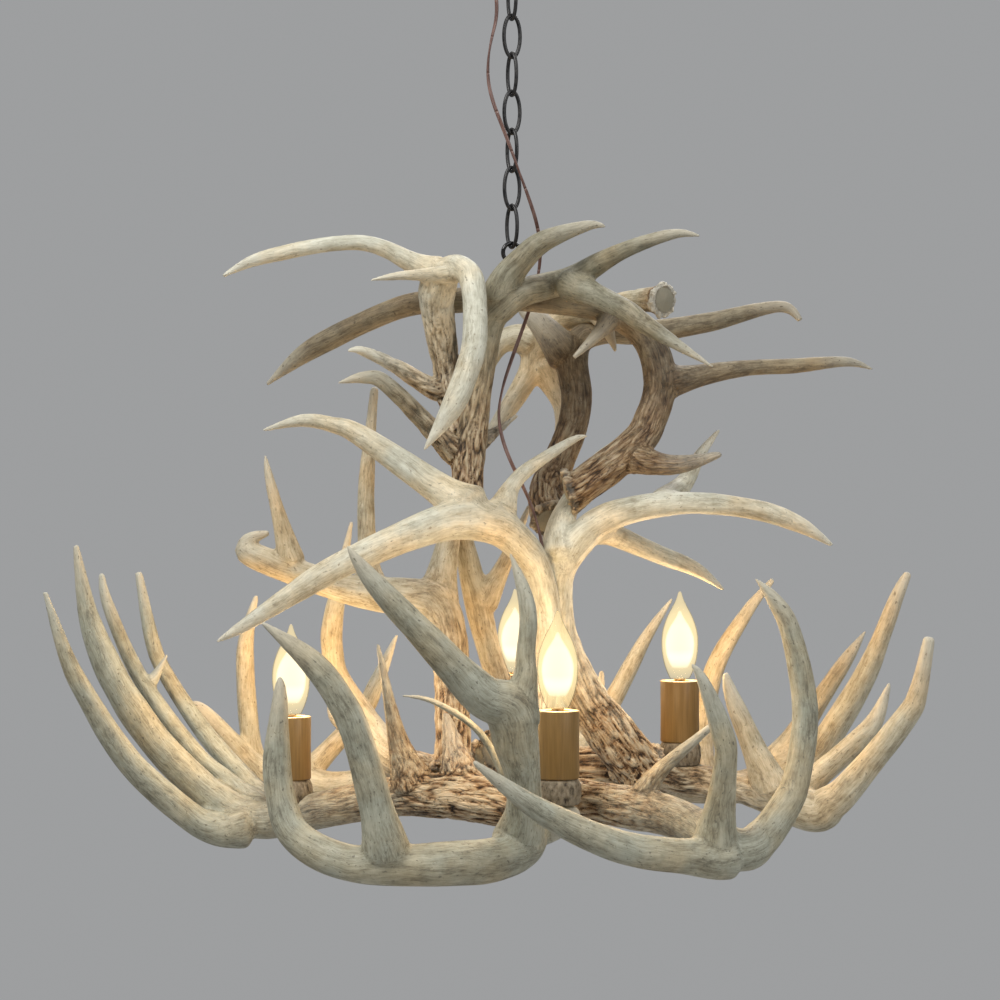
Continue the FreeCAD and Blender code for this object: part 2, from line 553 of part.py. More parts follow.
def ring_of(half_width, half_height, wire_radius, heading):
    """An upright oval ring of wire round the origin, in the plane of the heading.

    The bends lie half a step off its top and foot, so that it bears there on flats, and
    the flats, not the corners, are at the stated sizes.
    """
    turn = math.radians(heading)
    along = Vector(math.cos(turn), math.sin(turn), 0)
    normal = along.cross(Vector(0, 0, 1))
    spread = 1 / math.cos(math.pi / RING_CORNERS)
    points = []
    for i in range(RING_CORNERS):
        angle = 2 * math.pi * (i + 0.5) / RING_CORNERS
        points.append(along * (half_width * spread * math.sin(angle))
                      + Vector(0, 0, half_height * spread * math.cos(angle)))
    return wire_ring(points, wire_radius / math.cos(math.pi / WIRE_SIDES), WIRE_SIDES, normal)


def chain():
    """The links, each turned a quarter from the one above, and the lamp's eye."""
    half_width = (LINK_WIDTH - LINK_WIRE) / 2
    for index in range(1, LINK_COUNT + 1):
        link = ring_of(half_width, LINK_HALF, LINK_WIRE / 2, azimuth(index))
        save("chain_link_%d" % index, placed(link, z=FIRST_LINK - (index - 1) * LINK_PITCH))


def crown_of(name, x, y):
    """Level of the top of an antler's beam over a point, from the eye's centre."""
    heights = [z + radius for px, py, z, radius in ANTLERS[name][0]
               if math.hypot(px - x, py - y) < EYE_REACH]
    return max(heights)


def hanging_eye():
    """The screw eye in the top antler: a ring with its shank under it."""
    crown = crown_of(EYE_ANTLER, 0, 0)
    ring = ring_of(EYE_RING_RADIUS, EYE_RING_RADIUS, EYE_WIRE / 2, EYE_AZIMUTH)
    shank = post(EYE_SHANK_RADIUS, crown - EYE_SHANK_DEPTH, -EYE_RING_RADIUS, EYE_SHANK_SIDES)
    return placed(ring.fuse(shank), z=EYE_CENTRE)


# ----------------------------------------------------------------- the antlers
def stations_of(run, burr):
    """Centres and radii along a beam or a tine, with the burr's flare on a beam."""
    stations = [(Vector(x, y, z + EYE_CENTRE), radius) for x, y, z, radius in run]
    if burr:
        foot, radius = stations[0]
        onward = (stations[1][0] - foot).normalize()
        collar = foot + onward * BURR_LENGTH
        stations[0] = (foot, radius * BURR_FLARE)
        stations.insert(1, (collar, radius * BURR_NECK))
    return stations


def runs_of(name):
    """All runs of one antler: the beam with its burr first, then the tines."""
    beam, *tines = ANTLERS[name]
    return [stations_of(beam, True)] + [stations_of(tine, False) for tine in tines]


def limbs(name, grow=0.0):
    """The beam and the tines of one antler, each a solid of its own."""
    return [limb(run, grow) for run in runs_of(name)]


def blank(name):
    """One antler in one piece, before it is coped, drilled and sawn."""
    beam, *tines = limbs(name)
    return beam.fuse(tines)


def nearest(first, second):
    """The two centres, one in each antler, whose surfaces come closest."""
    def samples(name):
        found = []
        for run in runs_of(name):
            for (a, ra), (b, rb) in zip(run, run[1:]):
                steps = max(2, int(a.distanceToPoint(b) / SAMPLE_STEP))
                for k in range(steps):
                    share = k / steps
                    found.append((a + (b - a) * share, ra + (rb - ra) * share))
        return found
    best = None
    for centre, radius in samples(first):
        for other, other_radius in samples(second):
            gap = centre.distanceToPoint(other) - radius - other_radius
            if best is None or gap < best[0]:
                best = (gap, centre, radius, other)
    return best[1], best[2], best[3]


def joining_pin(first, second, grow=0.0):
    """A hidden pin across the place where two antlers meet."""
    centre, radius, other = nearest(first, second)
    axis = (other - centre).normalize()
    middle = centre + axis * radius
    side = side_of(axis)
    ends = [middle - axis * (PIN_GRIP + grow), middle + axis * (PIN_GRIP + grow)]
    return skin([ring_at(end, axis, side, PIN_RADIUS + grow, PIN_SIDES) for end in ends])


def antlers():
    """All antlers, coped where they cross, pinned, and sawn flat under the candles."""
    shapes = {name: blank(name) for name in ANTLERS}
    for later, earlier in COPED:
        shapes[later] = shapes[later].cut(limbs(earlier, CLEARANCE))
    pins = []
    for first, second in COPED:
        hole = joining_pin(first, second, FIT)
        shapes[first] = shapes[first].cut(hole)
        shapes[second] = shapes[second].cut(hole)
        pins.append(joining_pin(first, second))
    for x, y, z, name in CANDLES.values():
        saw = placed(post(SEAT_RADIUS + SAW_ROOM, 0, SAW_HEIGHT), x, y, z + EYE_CENTRE)
        shapes[name] = shapes[name].cut(saw)
    crown = crown_of(EYE_ANTLER, 0, 0)
    shank_hole = post(EYE_SHANK_RADIUS + FIT, crown - EYE_SHANK_DEPTH, 0, EYE_SHANK_SIDES)
    shapes[EYE_ANTLER] = shapes[EYE_ANTLER].cut(placed(shank_hole, z=EYE_CENTRE))
    shapes[CORD_ANTLER] = shapes[CORD_ANTLER].cut(cord_tube(CORD_GAP))
    for name, shape in shapes.items():
        kept = max(shape.Solids, key=lambda solid: solid.Volume)
        print(name, len(shape.Solids), round(kept.Volume / 1000), "cm3",
              len(kept.Faces), "faces")
        save(name, kept)
    save("antler_pins", Part.makeCompound(pins))


# ----------------------------------------------------------------- the candles
def candle(place, x, y, z):
    """Burr slice, socket, turned sleeve, bulb and bulb base, on one axis."""
    foot = z + EYE_CENTRE
    socket_side = SOCKET_RADIUS + CLEARANCE
    seat = turned([(socket_side, 0), (SEAT_RADIUS - SEAT_FOOT / 2, 0), (SEAT_RADIUS, SEAT_FOOT),
                   (SEAT_RADIUS + SEAT_BULGE, SEAT_BELLY),
                   (SEAT_RADIUS, SEAT_HEIGHT - SEAT_HEAD),
                   (SEAT_RADIUS - SEAT_HEAD / 2, SEAT_HEIGHT), (socket_side, SEAT_HEIGHT)])
    save("candle_seat_" + place, placed(seat, x, y, foot))

    bore = BASE_RADIUS + BASE_GAP
    socket = turned([(0, 0), (SOCKET_RADIUS, 0), (SOCKET_RADIUS, SOCKET_TOP), (bore, SOCKET_TOP),
                     (bore, SOCKET_TOP - SOCKET_BORE_DEPTH), (0, SOCKET_TOP - SOCKET_BORE_DEPTH)])
    save("candle_socket_" + place, placed(socket, x, y, foot))

    sleeve = turned([(socket_side, SLEEVE_FOOT), (SLEEVE_RADIUS, SLEEVE_FOOT),
                     (SLEEVE_RADIUS, SLEEVE_TOP - SLEEVE_EASING),
                     (SLEEVE_RADIUS - SLEEVE_EASING, SLEEVE_TOP),
                     (socket_side, SLEEVE_TOP)])
    save("candle_sleeve_" + place, placed(sleeve, x, y, foot))

    base = turned([(0, BASE_TOP - BASE_LENGTH), (BASE_TIP_RADIUS, BASE_TOP - BASE_LENGTH),
                   (BASE_RADIUS, BASE_TOP - BASE_LENGTH + BASE_TIP), (BASE_RADIUS, BASE_TOP),
                   (0, BASE_TOP)])
    save("bulb_base_" + place, placed(base, x, y, foot))

    outer = [(BULB_RADIUS * r, BASE_TOP + BULB_HEIGHT * h) for r, h in BULB_PROFILE]
    inner = [(r - BULB_WALL, h) for r, h in outer[1:-2]]
    glass = turned([(0, BASE_TOP)] + outer + [(0, outer[-1][1])])
    hollow = turned([(0, inner[0][1])] + inner + [(0, inner[-1][1])])
    save("bulb_glass_" + place, placed(glass.cut(hollow), x, y, foot))


# -------------------------------------------------------------------- the cord
def cord_tube(grow=0.0):
    """A tube along the cord's route: straight runs joined by tangent arcs."""
    points = [Vector(x, y, z + EYE_CENTRE) for x, y, z in CORD_ROUTE]
    if grow:
        points = points[-CORD_HOLE_POINTS:]
    edges = []
    start = points[0]
    radii = []
    for before, corner, after in zip(points, points[1:], points[2:]):
        into = (corner - before).normalize()
        onward = (after - corner).normalize()
        half_turn = math.acos(max(-1.0, min(1.0, into.dot(onward)))) / 2
        trim = ARC_SHARE * min(before.distanceToPoint(corner), corner.distanceToPoint(after))
        radius = trim / math.tan(half_turn)
        radii.append(radius)
        first = corner - into * trim
        last = corner + onward * trim
        inward = (onward - into).normalize()
        reach = radius / math.cos(half_turn)
        middle = corner + inward * (reach - radius)
        edges.append(Part.LineSegment(start, first).toShape())
        edges.append(Part.Arc(first, middle, last).toShape())
        start = last
    edges.append(Part.LineSegment(start, points[-1]).toShape())
    path = Part.Wire(edges)
    first_axis = (points[1] - points[0]).normalize()
    radius = CORD_DIAMETER / 2 + grow
    corners = ring_at(points[0], first_axis, side_of(first_axis), radius, CORD_SIDES)
    section = Part.makePolygon(corners + corners[:1])
    tube = path.makePipeShell([section], True, False)
    if not grow:
        length = path.Length
        share = tube.Volume / (Part.Face(section).Area * length)
        print("cord length", round(length), "volume share", round(share, 4),
              "smallest radius", round(min(radii), 1))
    return tube


os.makedirs("parts", exist_ok=True)
print("eye centre", round(EYE_CENTRE, 2))
ceiling_fitting()
chain()
save("hanging_eye", hanging_eye())
antlers()
for candle_place, (seat_x, seat_y, seat_z, _) in CANDLES.items():
    candle(candle_place, seat_x, seat_y, seat_z)
save("supply_cord", cord_tube())
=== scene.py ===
"""Looks of the antler chandelier: weathered bone, turned wood candles, lit bulbs, chain and cord.

Lengths in the tables are millimetres from the eye that the lamp hangs by, as in the part's
source. Everything that is made from them is in metres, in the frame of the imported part.
"""
import math

import bpy
import numpy as np
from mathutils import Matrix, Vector, noise


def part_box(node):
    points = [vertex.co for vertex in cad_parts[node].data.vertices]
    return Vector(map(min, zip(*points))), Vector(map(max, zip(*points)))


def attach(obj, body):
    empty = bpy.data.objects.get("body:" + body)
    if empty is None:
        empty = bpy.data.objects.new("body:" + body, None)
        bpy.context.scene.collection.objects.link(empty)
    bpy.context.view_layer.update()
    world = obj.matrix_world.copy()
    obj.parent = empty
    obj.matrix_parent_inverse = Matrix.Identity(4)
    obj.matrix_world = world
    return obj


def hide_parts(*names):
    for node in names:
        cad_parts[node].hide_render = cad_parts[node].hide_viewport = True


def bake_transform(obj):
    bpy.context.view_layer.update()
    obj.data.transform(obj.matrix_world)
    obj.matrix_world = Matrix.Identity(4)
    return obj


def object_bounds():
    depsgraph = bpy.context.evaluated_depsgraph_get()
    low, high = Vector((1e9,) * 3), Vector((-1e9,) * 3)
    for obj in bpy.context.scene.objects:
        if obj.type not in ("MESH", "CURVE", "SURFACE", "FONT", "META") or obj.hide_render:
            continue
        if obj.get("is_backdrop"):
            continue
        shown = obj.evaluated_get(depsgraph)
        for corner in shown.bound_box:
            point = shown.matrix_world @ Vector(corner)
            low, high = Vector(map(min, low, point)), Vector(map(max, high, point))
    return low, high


MM = 0.001
EYE_CENTRE = -311.2 * MM  # level of the eye below the ceiling

# the photograph's camera: level, facing along +Y
CAMERA_DISTANCE = 2.474  # from the chain
CAMERA_SIDE = -0.011
CAMERA_LEVEL = -0.53755
SENSOR = 36.0
LENS = 97.3
LAMPS = {  # place, size, energy, colour
    "key": ((-1.1, -1.4, 1.3), 1.2, 45, (1.0, 0.985, 0.955)),
    "fill": ((1.9, -1.8, 0.7), 1.8, 24, (0.97, 0.98, 1.0)),
    "rim": ((0.6, 1.7, 1.2), 1.4, 20, (1.0, 0.98, 0.96)),
}
SKY = [(0.30, 0.07), (0.5, (0.25, 0.252, 0.255)), (0.85, (0.46, 0.465, 0.47))]
WALL_COLOUR = (0.34, 0.345, 0.35, 1.0)
FLOOR_COLOURS = [(0.3, (0.46, 0.46, 0.45)), (0.7, (0.54, 0.54, 0.53))]
FLOOR_DROP = 1.15  # under the lamp
FLOOR_WIDTH = 9.0

# Beams and tines are joined on a fine grid.
VOXEL = 0.0016
EASING = 11  # passes that smooth the grid's steps
TUBE_SIDES = 20
SAMPLE_STEP = 0.0025  # along a beam or a tine
LEAST_RADIUS = 0.0012
BLOCK = 2000  # points that are measured at a time
BEAM_DOME = 0.2  # of the end's radius, by which an end bulges
TINE_DOME = 0.45
UNEVEN = 0.05  # share by which a beam's radius wanders
LUMPS = 28  # of that to a metre
BURR_FLARE = 0.24  # a beam is this much stouter at its burr
BURR_REACH = 0.0055
FORK_FLARE = 0.42  # and a tine where it leaves the beam
FORK_REACH = 0.030
FORK_SHARE = 0.8  # of the beam's radius, which a tine keeps inside at first
FORK_OPENING = 0.9

# Bone tone, reach of the brown base in metres, pearling, and then the beam and the tines:
# x, y, z and radius at each station.
ANTLERS = {
    "front_left":
    ("grey", 0.07, 0.5,
     [(19, -86, -489, 16), (14, -134, -499, 17.5), (12, -186, -511, 18), (4, -234, -516, 18),
      (-19, -274, -520, 18.5), (-51, -299, -519, 18.5), (-91, -309, -519, 17),
      (-127, -309, -518, 15), (-157, -302, -509, 14.5), (-179, -294, -493, 13.5),
      (-188, -286, -469, 12.5), (-192, -279, -438, 11.5), (-190, -274, -385, 6),
      (-190, -274, -370, 2)],
     [(2, -236, -516, 16.5), (9, -259, -482, 15.5), (7, -274, -450, 15), (2, -284, -422, 19),
      (-5, -292, -394, 20), (-27, -302, -382, 17), (-67, -324, -339, 12.5),
      (-112, -336, -290, 8.5), (-132, -339, -262, 1.5)],
     [(0, -288, -408, 16), (9, -292, -372, 10), (10, -292, -350, 8), (12, -292, -323, 7.5),
      (8, -289, -299, 6), (-3, -284, -269, 1.5)],
     [(-101, -309, -515, 15), (-106, -319, -486, 14), (-123, -332, -418, 12.5),
      (-137, -336, -385, 11.5), (-160, -339, -354, 10), (-199, -342, -323, 2)],
     [(13, -166, -505, 14.5), (42, -178, -497, 13.5), (54, -179, -492, 8.5)],
     [(10, -139, -499, 8), (-8, -144, -463, 4.5), (-30, -154, -424, 3.5), (-67, -164, -399, 3),
      (-95, -169, -393, 1.5)]),
    "front_right":
    ("grey", 0.19, 1.1,
     [(28, -102, -487, 16.5), (52, -115, -487, 18), (109, -164, -491, 18), (141, -199, -496, 17),
      (184, -258, -513, 17), (205, -244, -505, 15.5), (225, -230, -482, 13.5),
      (237, -222, -456, 12), (244, -217, -400, 11), (232, -217, -337, 9), (218, -219, -310, 6.5),
      (201, -222, -291, 1)],
     [(182, -260, -514, 15.5), (152, -274, -517, 15), (85, -309, -504, 13.5), (21, -336, -472, 10),
      (-32, -350, -432, 2.5)],
     [(164, -266, -512, 14), (171, -292, -438, 10), (168, -298, -414, 9.5), (152, -307, -372, 5.5),
      (142, -310, -357, 1.5)],
     [(109, -164, -490, 11), (122, -170, -461, 7), (177, -180, -411, 3)]),
    "left":
    ("grey", 0.26, 1.3,
     [(10, -62, -499, 22.5), (-51, -46, -492, 21), (-115, -19, -497, 18), (-191, 14, -515, 16.5),
      (-228, 26, -522, 18.5), (-257, 31, -516, 17.5), (-289, 34, -492, 16), (-324, 34, -458, 15.5),
      (-354, 31, -417, 15), (-376, 28, -376, 13.5), (-392, 26, -331, 9.5), (-403, 23, -268, 3)],
     [(-242, 23, -526, 15.5), (-271, 14, -529, 13.5), (-300, 6, -513, 13), (-350, -9, -464, 12),
      (-388, -22, -401, 9.5), (-404, -27, -366, 7.5), (-422, -34, -309, 2.5)],
     [(-226, 31, -516, 10), (-267, 51, -486, 8), (-298, 61, -461, 8), (-349, 74, -396, 8),
      (-381, 81, -327, 6), (-388, 83, -296, 3)],
     [(-217, 34, -516, 10), (-248, 66, -490, 9.5), (-290, 92, -449, 9), (-329, 108, -395, 8),
      (-344, 114, -361, 7.5), (-358, 121, -296, 4)],
     [(-345, 72, -405, 5.5), (-336, 76, -392, 4), (-325, 78, -372, 1.5)],
     [(-88, -34, -488, 16.5), (-104, -39, -438, 8.5), (-121, -46, -355, 2)],
     [(-45, -44, -483, 14.5), (-49, -40, -465, 12.5), (-60, -32, -420, 3.5)]),
    "back_left":
    ("tan", 0.06, 0.7,
     [(-71, 120, -492, 19), (-111, 101, -474, 17), (-131, 116, -452, 15.5),
      (-165, 134, -402, 11.5), (-173, 140, -371, 11), (-172, 144, -338, 10), (-155, 148, -247, 2)],
     [(-134, 118, -452, 11.5), (-154, 146, -449, 8.5), (-173, 176, -437, 7),
      (-179, 196, -414, 2)]),
    "rear_left":
    ("tan", 0.08, 0.8,
     [(-28, 124, -480, 19), (-79, 151, -495, 17.5), (-159, 184, -508, 15.5), (-198, 191, -508, 16),
      (-228, 191, -507, 15), (-247, 186, -490, 12), (-256, 176, -457, 10), (-259, 159, -373, 8.5),
      (-248, 154, -319, 2.5)],
     [(-208, 191, -506, 13), (-194, 206, -489, 10.5), (-150, 234, -441, 9.5),
      (-136, 241, -412, 8.5), (-115, 251, -362, 2)],
     [(-233, 191, -507, 14), (-248, 176, -493, 12), (-296, 152, -436, 8.5),
      (-310, 148, -422, 2.5)]),
    "back":
    ("tan", 0.20, 1.3,
     [(-11, 123, -467, 20), (3, 206, -493, 17.5), (14, 256, -501, 17), (41, 311, -496, 16.5),
      (73, 351, -482, 14.5), (100, 371, -450, 11.5), (142, 378, -374, 7), (171, 380, -330, 2)],
     [(30, 291, -495, 14.5), (43, 326, -454, 11.5), (47, 346, -414, 8.5), (49, 356, -373, 2.5)],
     [(11, 261, -500, 13), (-11, 321, -449, 8.5), (-3, 336, -424, 2.5)],
     [(-1, 146, -475, 11.5), (33, 176, -457, 9), (63, 196, -436, 7.5), (86, 206, -415, 5.5),
      (90, 208, -396, 2.5)]),
    "right":
    ("tan", 0.16, 1.2,
     [(104, 64, -468, 19.5), (131, 84, -480, 17.5), (160, 92, -489, 15.5), (193, 90, -495, 14.5),
      (225, 81, -501, 15), (281, 54, -517, 19.5), (297, 46, -509, 17), (315, 40, -492, 14),
      (363, 26, -429, 11), (375, 22, -404, 9), (385, 18, -353, 5.5)],
     [(248, 71, -506, 15), (210, 61, -419, 8.5), (200, 59, -389, 3.5)],
     [(262, 66, -510, 14), (285, 86, -492, 11.5), (330, 101, -456, 11), (347, 104, -436, 8.5),
      (361, 106, -401, 2)]),
    "back_right":
    ("tan", 0.26, 1.4,
     [(24, 119, -478, 19), (60, 102, -480, 18), (90, 98, -480, 18.5), (116, 136, -489, 17.5),
      (146, 181, -503, 16.5), (187, 196, -511, 15.5), (232, 206, -510, 16), (267, 206, -496, 16.5),
      (294, 198, -485, 15.5), (316, 186, -454, 14), (349, 172, -393, 11), (376, 162, -321, 7),
      (387, 160, -297, 4)],
     [(262, 208, -496, 16), (296, 224, -444, 11), (334, 228, -388, 7.5), (355, 230, -357, 1.5)],
     [(187, 198, -509, 14), (189, 211, -470, 11.5), (202, 224, -398, 10), (234, 233, -342, 7),
      (263, 238, -306, 3)]),
    "column":
    ("pale", 0.17, 1.5,
     [(119, 30, -475, 23), (92, 8, -442, 22), (65, -6, -404, 19), (48, -12, -363, 15.5),
      (41, -18, -326, 14), (43, -24, -290, 14.5), (60, -29, -263, 15), (84, -30, -243, 13.5),
      (125, -28, -232, 11.5), (170, -24, -229, 10), (225, -19, -236, 9.5), (262, -16, -249, 7.5),
      (292, -14, -268, 2)],
     [(75, -29, -249, 12), (104, 16, -263, 9.5), (142, 46, -279, 9), (174, 61, -292, 7),
      (200, 71, -311, 2)],
     [(134, -24, -232, 10), (159, 11, -210, 8.5), (174, 31, -185, 5.5), (193, 41, -161, 2)],
     [(44, -34, -281, 12.5), (45, -19, -249, 12), (60, 11, -217, 9), (82, 34, -187, 6.5),
      (105, 46, -168, 3)]),
    "mid_left":
    ("pale", 0.10, 0.8,
     [(9, -58, -472, 15), (26, -44, -397, 14.5), (31, -42, -352, 13), (29, -44, -316, 13),
      (19, -60, -282, 14), (4, -71, -263, 16), (-15, -79, -249, 17.5), (-42, -89, -244, 17.5),
      (-73, -99, -250, 15.5), (-137, -119, -277, 12), (-172, -126, -296, 11),
      (-231, -139, -334, 6), (-256, -144, -349, 1.5)],
     [(-29, -82, -238, 17.5), (-54, -74, -224, 15), (-134, -56, -170, 10), (-161, -52, -159, 7.5),
      (-189, -49, -155, 6), (-225, -46, -164, 1.5)],
     [(-11, -74, -240, 10.5), (-1, -56, -215, 7), (16, -42, -197, 6.5), (55, -19, -172, 4),
      (69, -14, -168, 1.5)]),
    "mid_rear":
    ("tan", 0.18, 1.3,
     [(-55, -19, -473, 15.5), (-54, 6, -447, 15.5), (-56, 28, -402, 15.5), (-58, 36, -366, 17.5),
      (-69, 41, -329, 20.5), (-93, 44, -318, 19.5), (-156, 48, -309, 14), (-238, 56, -280, 12.5),
      (-248, 58, -270, 10), (-243, 56, -262, 6.5), (-227, 54, -257, 3)],
     [(-205, 52, -286, 9.5), (-225, 46, -210, 5), (-230, 44, -184, 1.5)],
     [(-130, 46, -312, 12), (-135, 61, -283, 9.5), (-137, 78, -214, 8), (-130, 88, -120, 4)],
     [(-71, 41, -324, 15), (-53, 73, -236, 8.5), (-39, 78, -206, 3)]),
    "mid_center":
    ("tan", 0.08, 0.7,
     [(0, 96, -457, 15), (-1, 96, -428, 13), (-20, 94, -374, 11.5), (-33, 90, -321, 12.5),
      (-51, 86, -231, 7.5), (-44, 88, -193, 3)],
     [(-29, 90, -328, 10.5), (-6, 86, -285, 7.5), (17, 76, -231, 2.5)]),
    "top_right":
    ("umber", 0.21, 0.8,
     [(51, -19, -219, 17.5), (66, -19, -212, 16.5), (113, -12, -175, 16), (128, -6, -149, 15.5),
      (135, 0, -124, 15.5), (133, 6, -98, 15), (122, 12, -75, 14.5), (101, 18, -57, 14.5),
      (72, 18, -46, 14), (0, 0, -40, 13), (-43, 2, -43, 12), (-103, 18, -49, 10.5),
      (-184, 48, -84, 10), (-230, 62, -118, 2)],
     [(131, 0, -121, 13), (207, 8, -106, 8), (259, 12, -103, 7), (307, 14, -99, 5),
      (333, 16, -106, 1.5)],
     [(106, -14, -185, 12), (129, -29, -193, 9.5), (153, -36, -194, 8.5), (188, -42, -185, 3)],
     [(92, 16, -57, 8.5), (80, -4, -73, 6), (56, -18, -97, 2.5)]),
    "top_front":
    ("olive", 0.15, 1.2,
     [(-38, -58, -237, 11.5), (-40, -44, -208, 13.5), (-37, -34, -172, 13.5),
      (-29, -30, -122, 11.5), (-20, -34, -68, 12.5), (-9, -38, -52, 13.5), (9, -32, -39, 13),
      (33, -13, -31, 12.5), (57, -20, -24, 11.5), (98, -58, -4, 8), (143, -72, 10, 5),
      (167, -76, 8, 1.5)],
     [(-15, -34, -53, 12.5), (-6, -40, -29, 12.5), (9, -48, -10, 11.5), (29, -53, 6, 9.5),
      (68, -58, 19, 5), (84, -60, 18, 1.5)],
     [(48, -18, -28, 12), (97, -78, -56, 10), (117, -96, -72, 9), (174, -129, -111, 1.5)],
     [(-44, -34, -186, 10), (-60, -40, -175, 9), (-111, -58, -124, 7.5), (-131, -62, -117, 6),
      (-155, -67, -122, 1.5)],
     [(-35, -26, -178, 7), (-16, -16, -165, 4), (5, -8, -149, 1.5)]),
    "top_left":
    ("pale", 0.13, 1.4,
     [(-45, -11, -168, 13), (-51, 0, -144, 13), (-58, 4, -121, 12.5), (-61, 1, -98, 12),
      (-68, -14, -53, 15.5), (-67, -26, -33, 16.5), (-58, -44, -20, 12.5), (-45, -64, -20, 11.5),
      (-35, -82, -36, 11.5), (-33, -110, -86, 11), (-41, -124, -118, 11), (-53, -134, -147, 10),
      (-77, -144, -184, 1.5)],
     [(-65, -34, -23, 12.5), (-83, -38, -16, 9), (-137, -44, 5, 7.5), (-220, -50, -8, 6.5),
      (-260, -54, -26, 2)],
     [(-51, -59, -25, 6.5), (-97, -86, -28, 4.5), (-125, -96, -33, 1.5)],
     [(-61, 4, -124, 9), (-73, -4, -124, 7), (-105, -16, -105, 6.5), (-136, -25, -91, 4),
      (-149, -28, -91, 1.5)]),
    "top_rear":
    ("umber", 0.22, 0.9,
     [(35, 2, -245, 15.5), (31, 26, -226, 15.5), (36, 46, -208, 15.5), (45, 56, -187, 14.5),
      (57, 61, -156, 14), (61, 64, -128, 14.5), (57, 70, -97, 15), (65, 82, -75, 13.5),
      (88, 86, -66, 12.5), (122, 88, -68, 11), (186, 86, -58, 9.5), (241, 82, -45, 6.5),
      (261, 80, -45, 5.5), (273, 78, -57, 3)],
     [(57, 70, -97, 14), (27, 76, -60, 11.5), (8, 80, -45, 4.5)]),
    "top_back":
    ("tan", 0.02, 0.5,
     [(139, 0, -43, 14), (126, 15, -42, 11.5), (108, 36, -42, 10), (62, 92, -51, 12),
      (39, 114, -61, 12.5), (24, 123, -82, 13.5), (16, 123, -107, 11.5), (-14, 113, -155, 7.5),
      (-30, 106, -171, 3)],
     [(26, 123, -92, 11.5), (47, 126, -135, 7.5), (43, 126, -169, 2.5)],
     [(24, 122, -76, 12.5), (2, 120, -71, 11), (-15, 118, -82, 9), (-32, 114, -126, 2.5)],
     [(79, 71, -46, 8.5), (88, 56, -63, 6.5), (97, 46, -88, 2)]),
}

# Linear colours of bone: pale ridge, body, groove.
TONES = {
    "grey": ((0.50, 0.49, 0.40), (0.335, 0.322, 0.25), (0.15, 0.135, 0.095)),
    "pale": ((0.76, 0.735, 0.63), (0.55, 0.52, 0.42), (0.31, 0.27, 0.19)),
    "tan": ((0.66, 0.60, 0.47), (0.46, 0.40, 0.285), (0.22, 0.172, 0.105)),
    "olive": ((0.38, 0.355, 0.275), (0.235, 0.217, 0.155), (0.11, 0.093, 0.06)),
    "umber": ((0.33, 0.28, 0.19), (0.188, 0.153, 0.10), (0.075, 0.055, 0.033)),
}
# The brown of a base, from its creases to its crests (the darkest creases partly painted shade),
# and how dark it is on dark antlers.
STAINS = [(0.35, (0.035, 0.018, 0.007)), (0.48, (0.18, 0.095, 0.036)),
          (0.60, (0.39, 0.255, 0.13)), (0.78, (0.64, 0.51, 0.33))]
STAIN_DEPTH = {"umber": 0.72, "olive": 0.85}
TIP_BONE = (0.68, 0.64, 0.53)
FACE_BONE = (0.25, 0.225, 0.16)
FACE_SAW_MARKS = (0.33, 0.30, 0.22)
WARM_TINT = (1.12, 0.99, 0.80)
COOL_TINT = (0.96, 0.98, 0.95)
SWAY = 0.007  # by which the grain wanders from straight
# Noise on bone along its grain: cells to a metre, detail, roughness.
GRAIN_NOISES = (((620, 620, 60), 7.0, 0.66), ((120, 120, 20), 6.0, 0.60),
                ((200, 200, 30), 4.0, 0.6), ((420, 420, 230), 2.0, 0.5))
PEARL_CELLS = (240, 240, 55)

# Relief of the skin, in metres.
WANDER = 0.005  # of furrows to their sides
WAVE_HEIGHT = 0.00032
RIDGE_HEIGHT = 0.0013
KNOB_HEIGHT = 0.0007
FURROW_DEPTH = 0.0013
BASE_SWELL = 0.0003
CROWN_HEIGHT = 0.0036
CROWN_GRIT = 0.0014
PEARLED_REACH = 0.12  # of furrows and pearls from the burr
CROWN_REACH = 0.007
FACE_SHARE = 0.86  # of the burr's radius, which the sawn face takes
FACE_DEPTH = 0.0015
RIM_DEPTH = 0.006
PALE_TIP = 0.06  # reach of the rubbed tip
CLEAN_BURR = 0.05  # below this reach of brown, the burr's rim is white

# Centre of each candle's seat, and the antler that it stands on.
CANDLES = {
    "front": (38, -177, -485, "antler_front_left"),
    "right": (160, 96, -478, "antler_right"),
    "left": (-204, 22, -506, "antler_left"),
    "back": (4, 226, -480, "antler_back"),
}
SEAT_RADIUS = 19.5 * MM
SEAT_HEIGHT = 22.0 * MM
# How far the seat's side stands out from its radius, at heights over its foot.
SEAT_SIDE = [(-0.0016, 0.0002), (-0.0004, 0.002), (0.0, 0.005), (0.0008, 0.009),
             (0.0004, 0.013), (0.0, 0.017), (-0.0014, 0.0205), (-0.003, SEAT_HEIGHT)]
SEAT_RELIEF = 0.0009
SEAT_PEARLS = 330  # to a metre
SLEEVE_RADIUS = 18.5 * MM
SLEEVE_BORE = 10.8 * MM
SLEEVE_TOP = 80.0 * MM
BASE_RADIUS = 5.9 * MM
BASE_BOTTOM = 62.0 * MM
BASE_TOP = 82.0 * MM
THREAD_TURNS = 5
THREAD_PITCH = 2.6 * MM
BULB_RADIUS = 17.4 * MM
BULB_HEIGHT = 83.0 * MM
BULB_PROFILE = [
    (0.53, 0.0), (0.67, 0.06), (0.84, 0.16), (0.95, 0.27), (1.0, 0.41), (0.955, 0.53),
    (0.83, 0.63), (0.64, 0.73), (0.41, 0.82), (0.22, 0.90), (0.13, 0.955), (0.085, 0.985),
    (0.0, 1.0),
]
BULB_STEP = 0.002  # along its outline
GLOW_BOTTOM = BASE_TOP + 10.0 * MM
GLOW_WIDTH = 0.80  # of the bulb's
GLOW_HEIGHT = 0.66
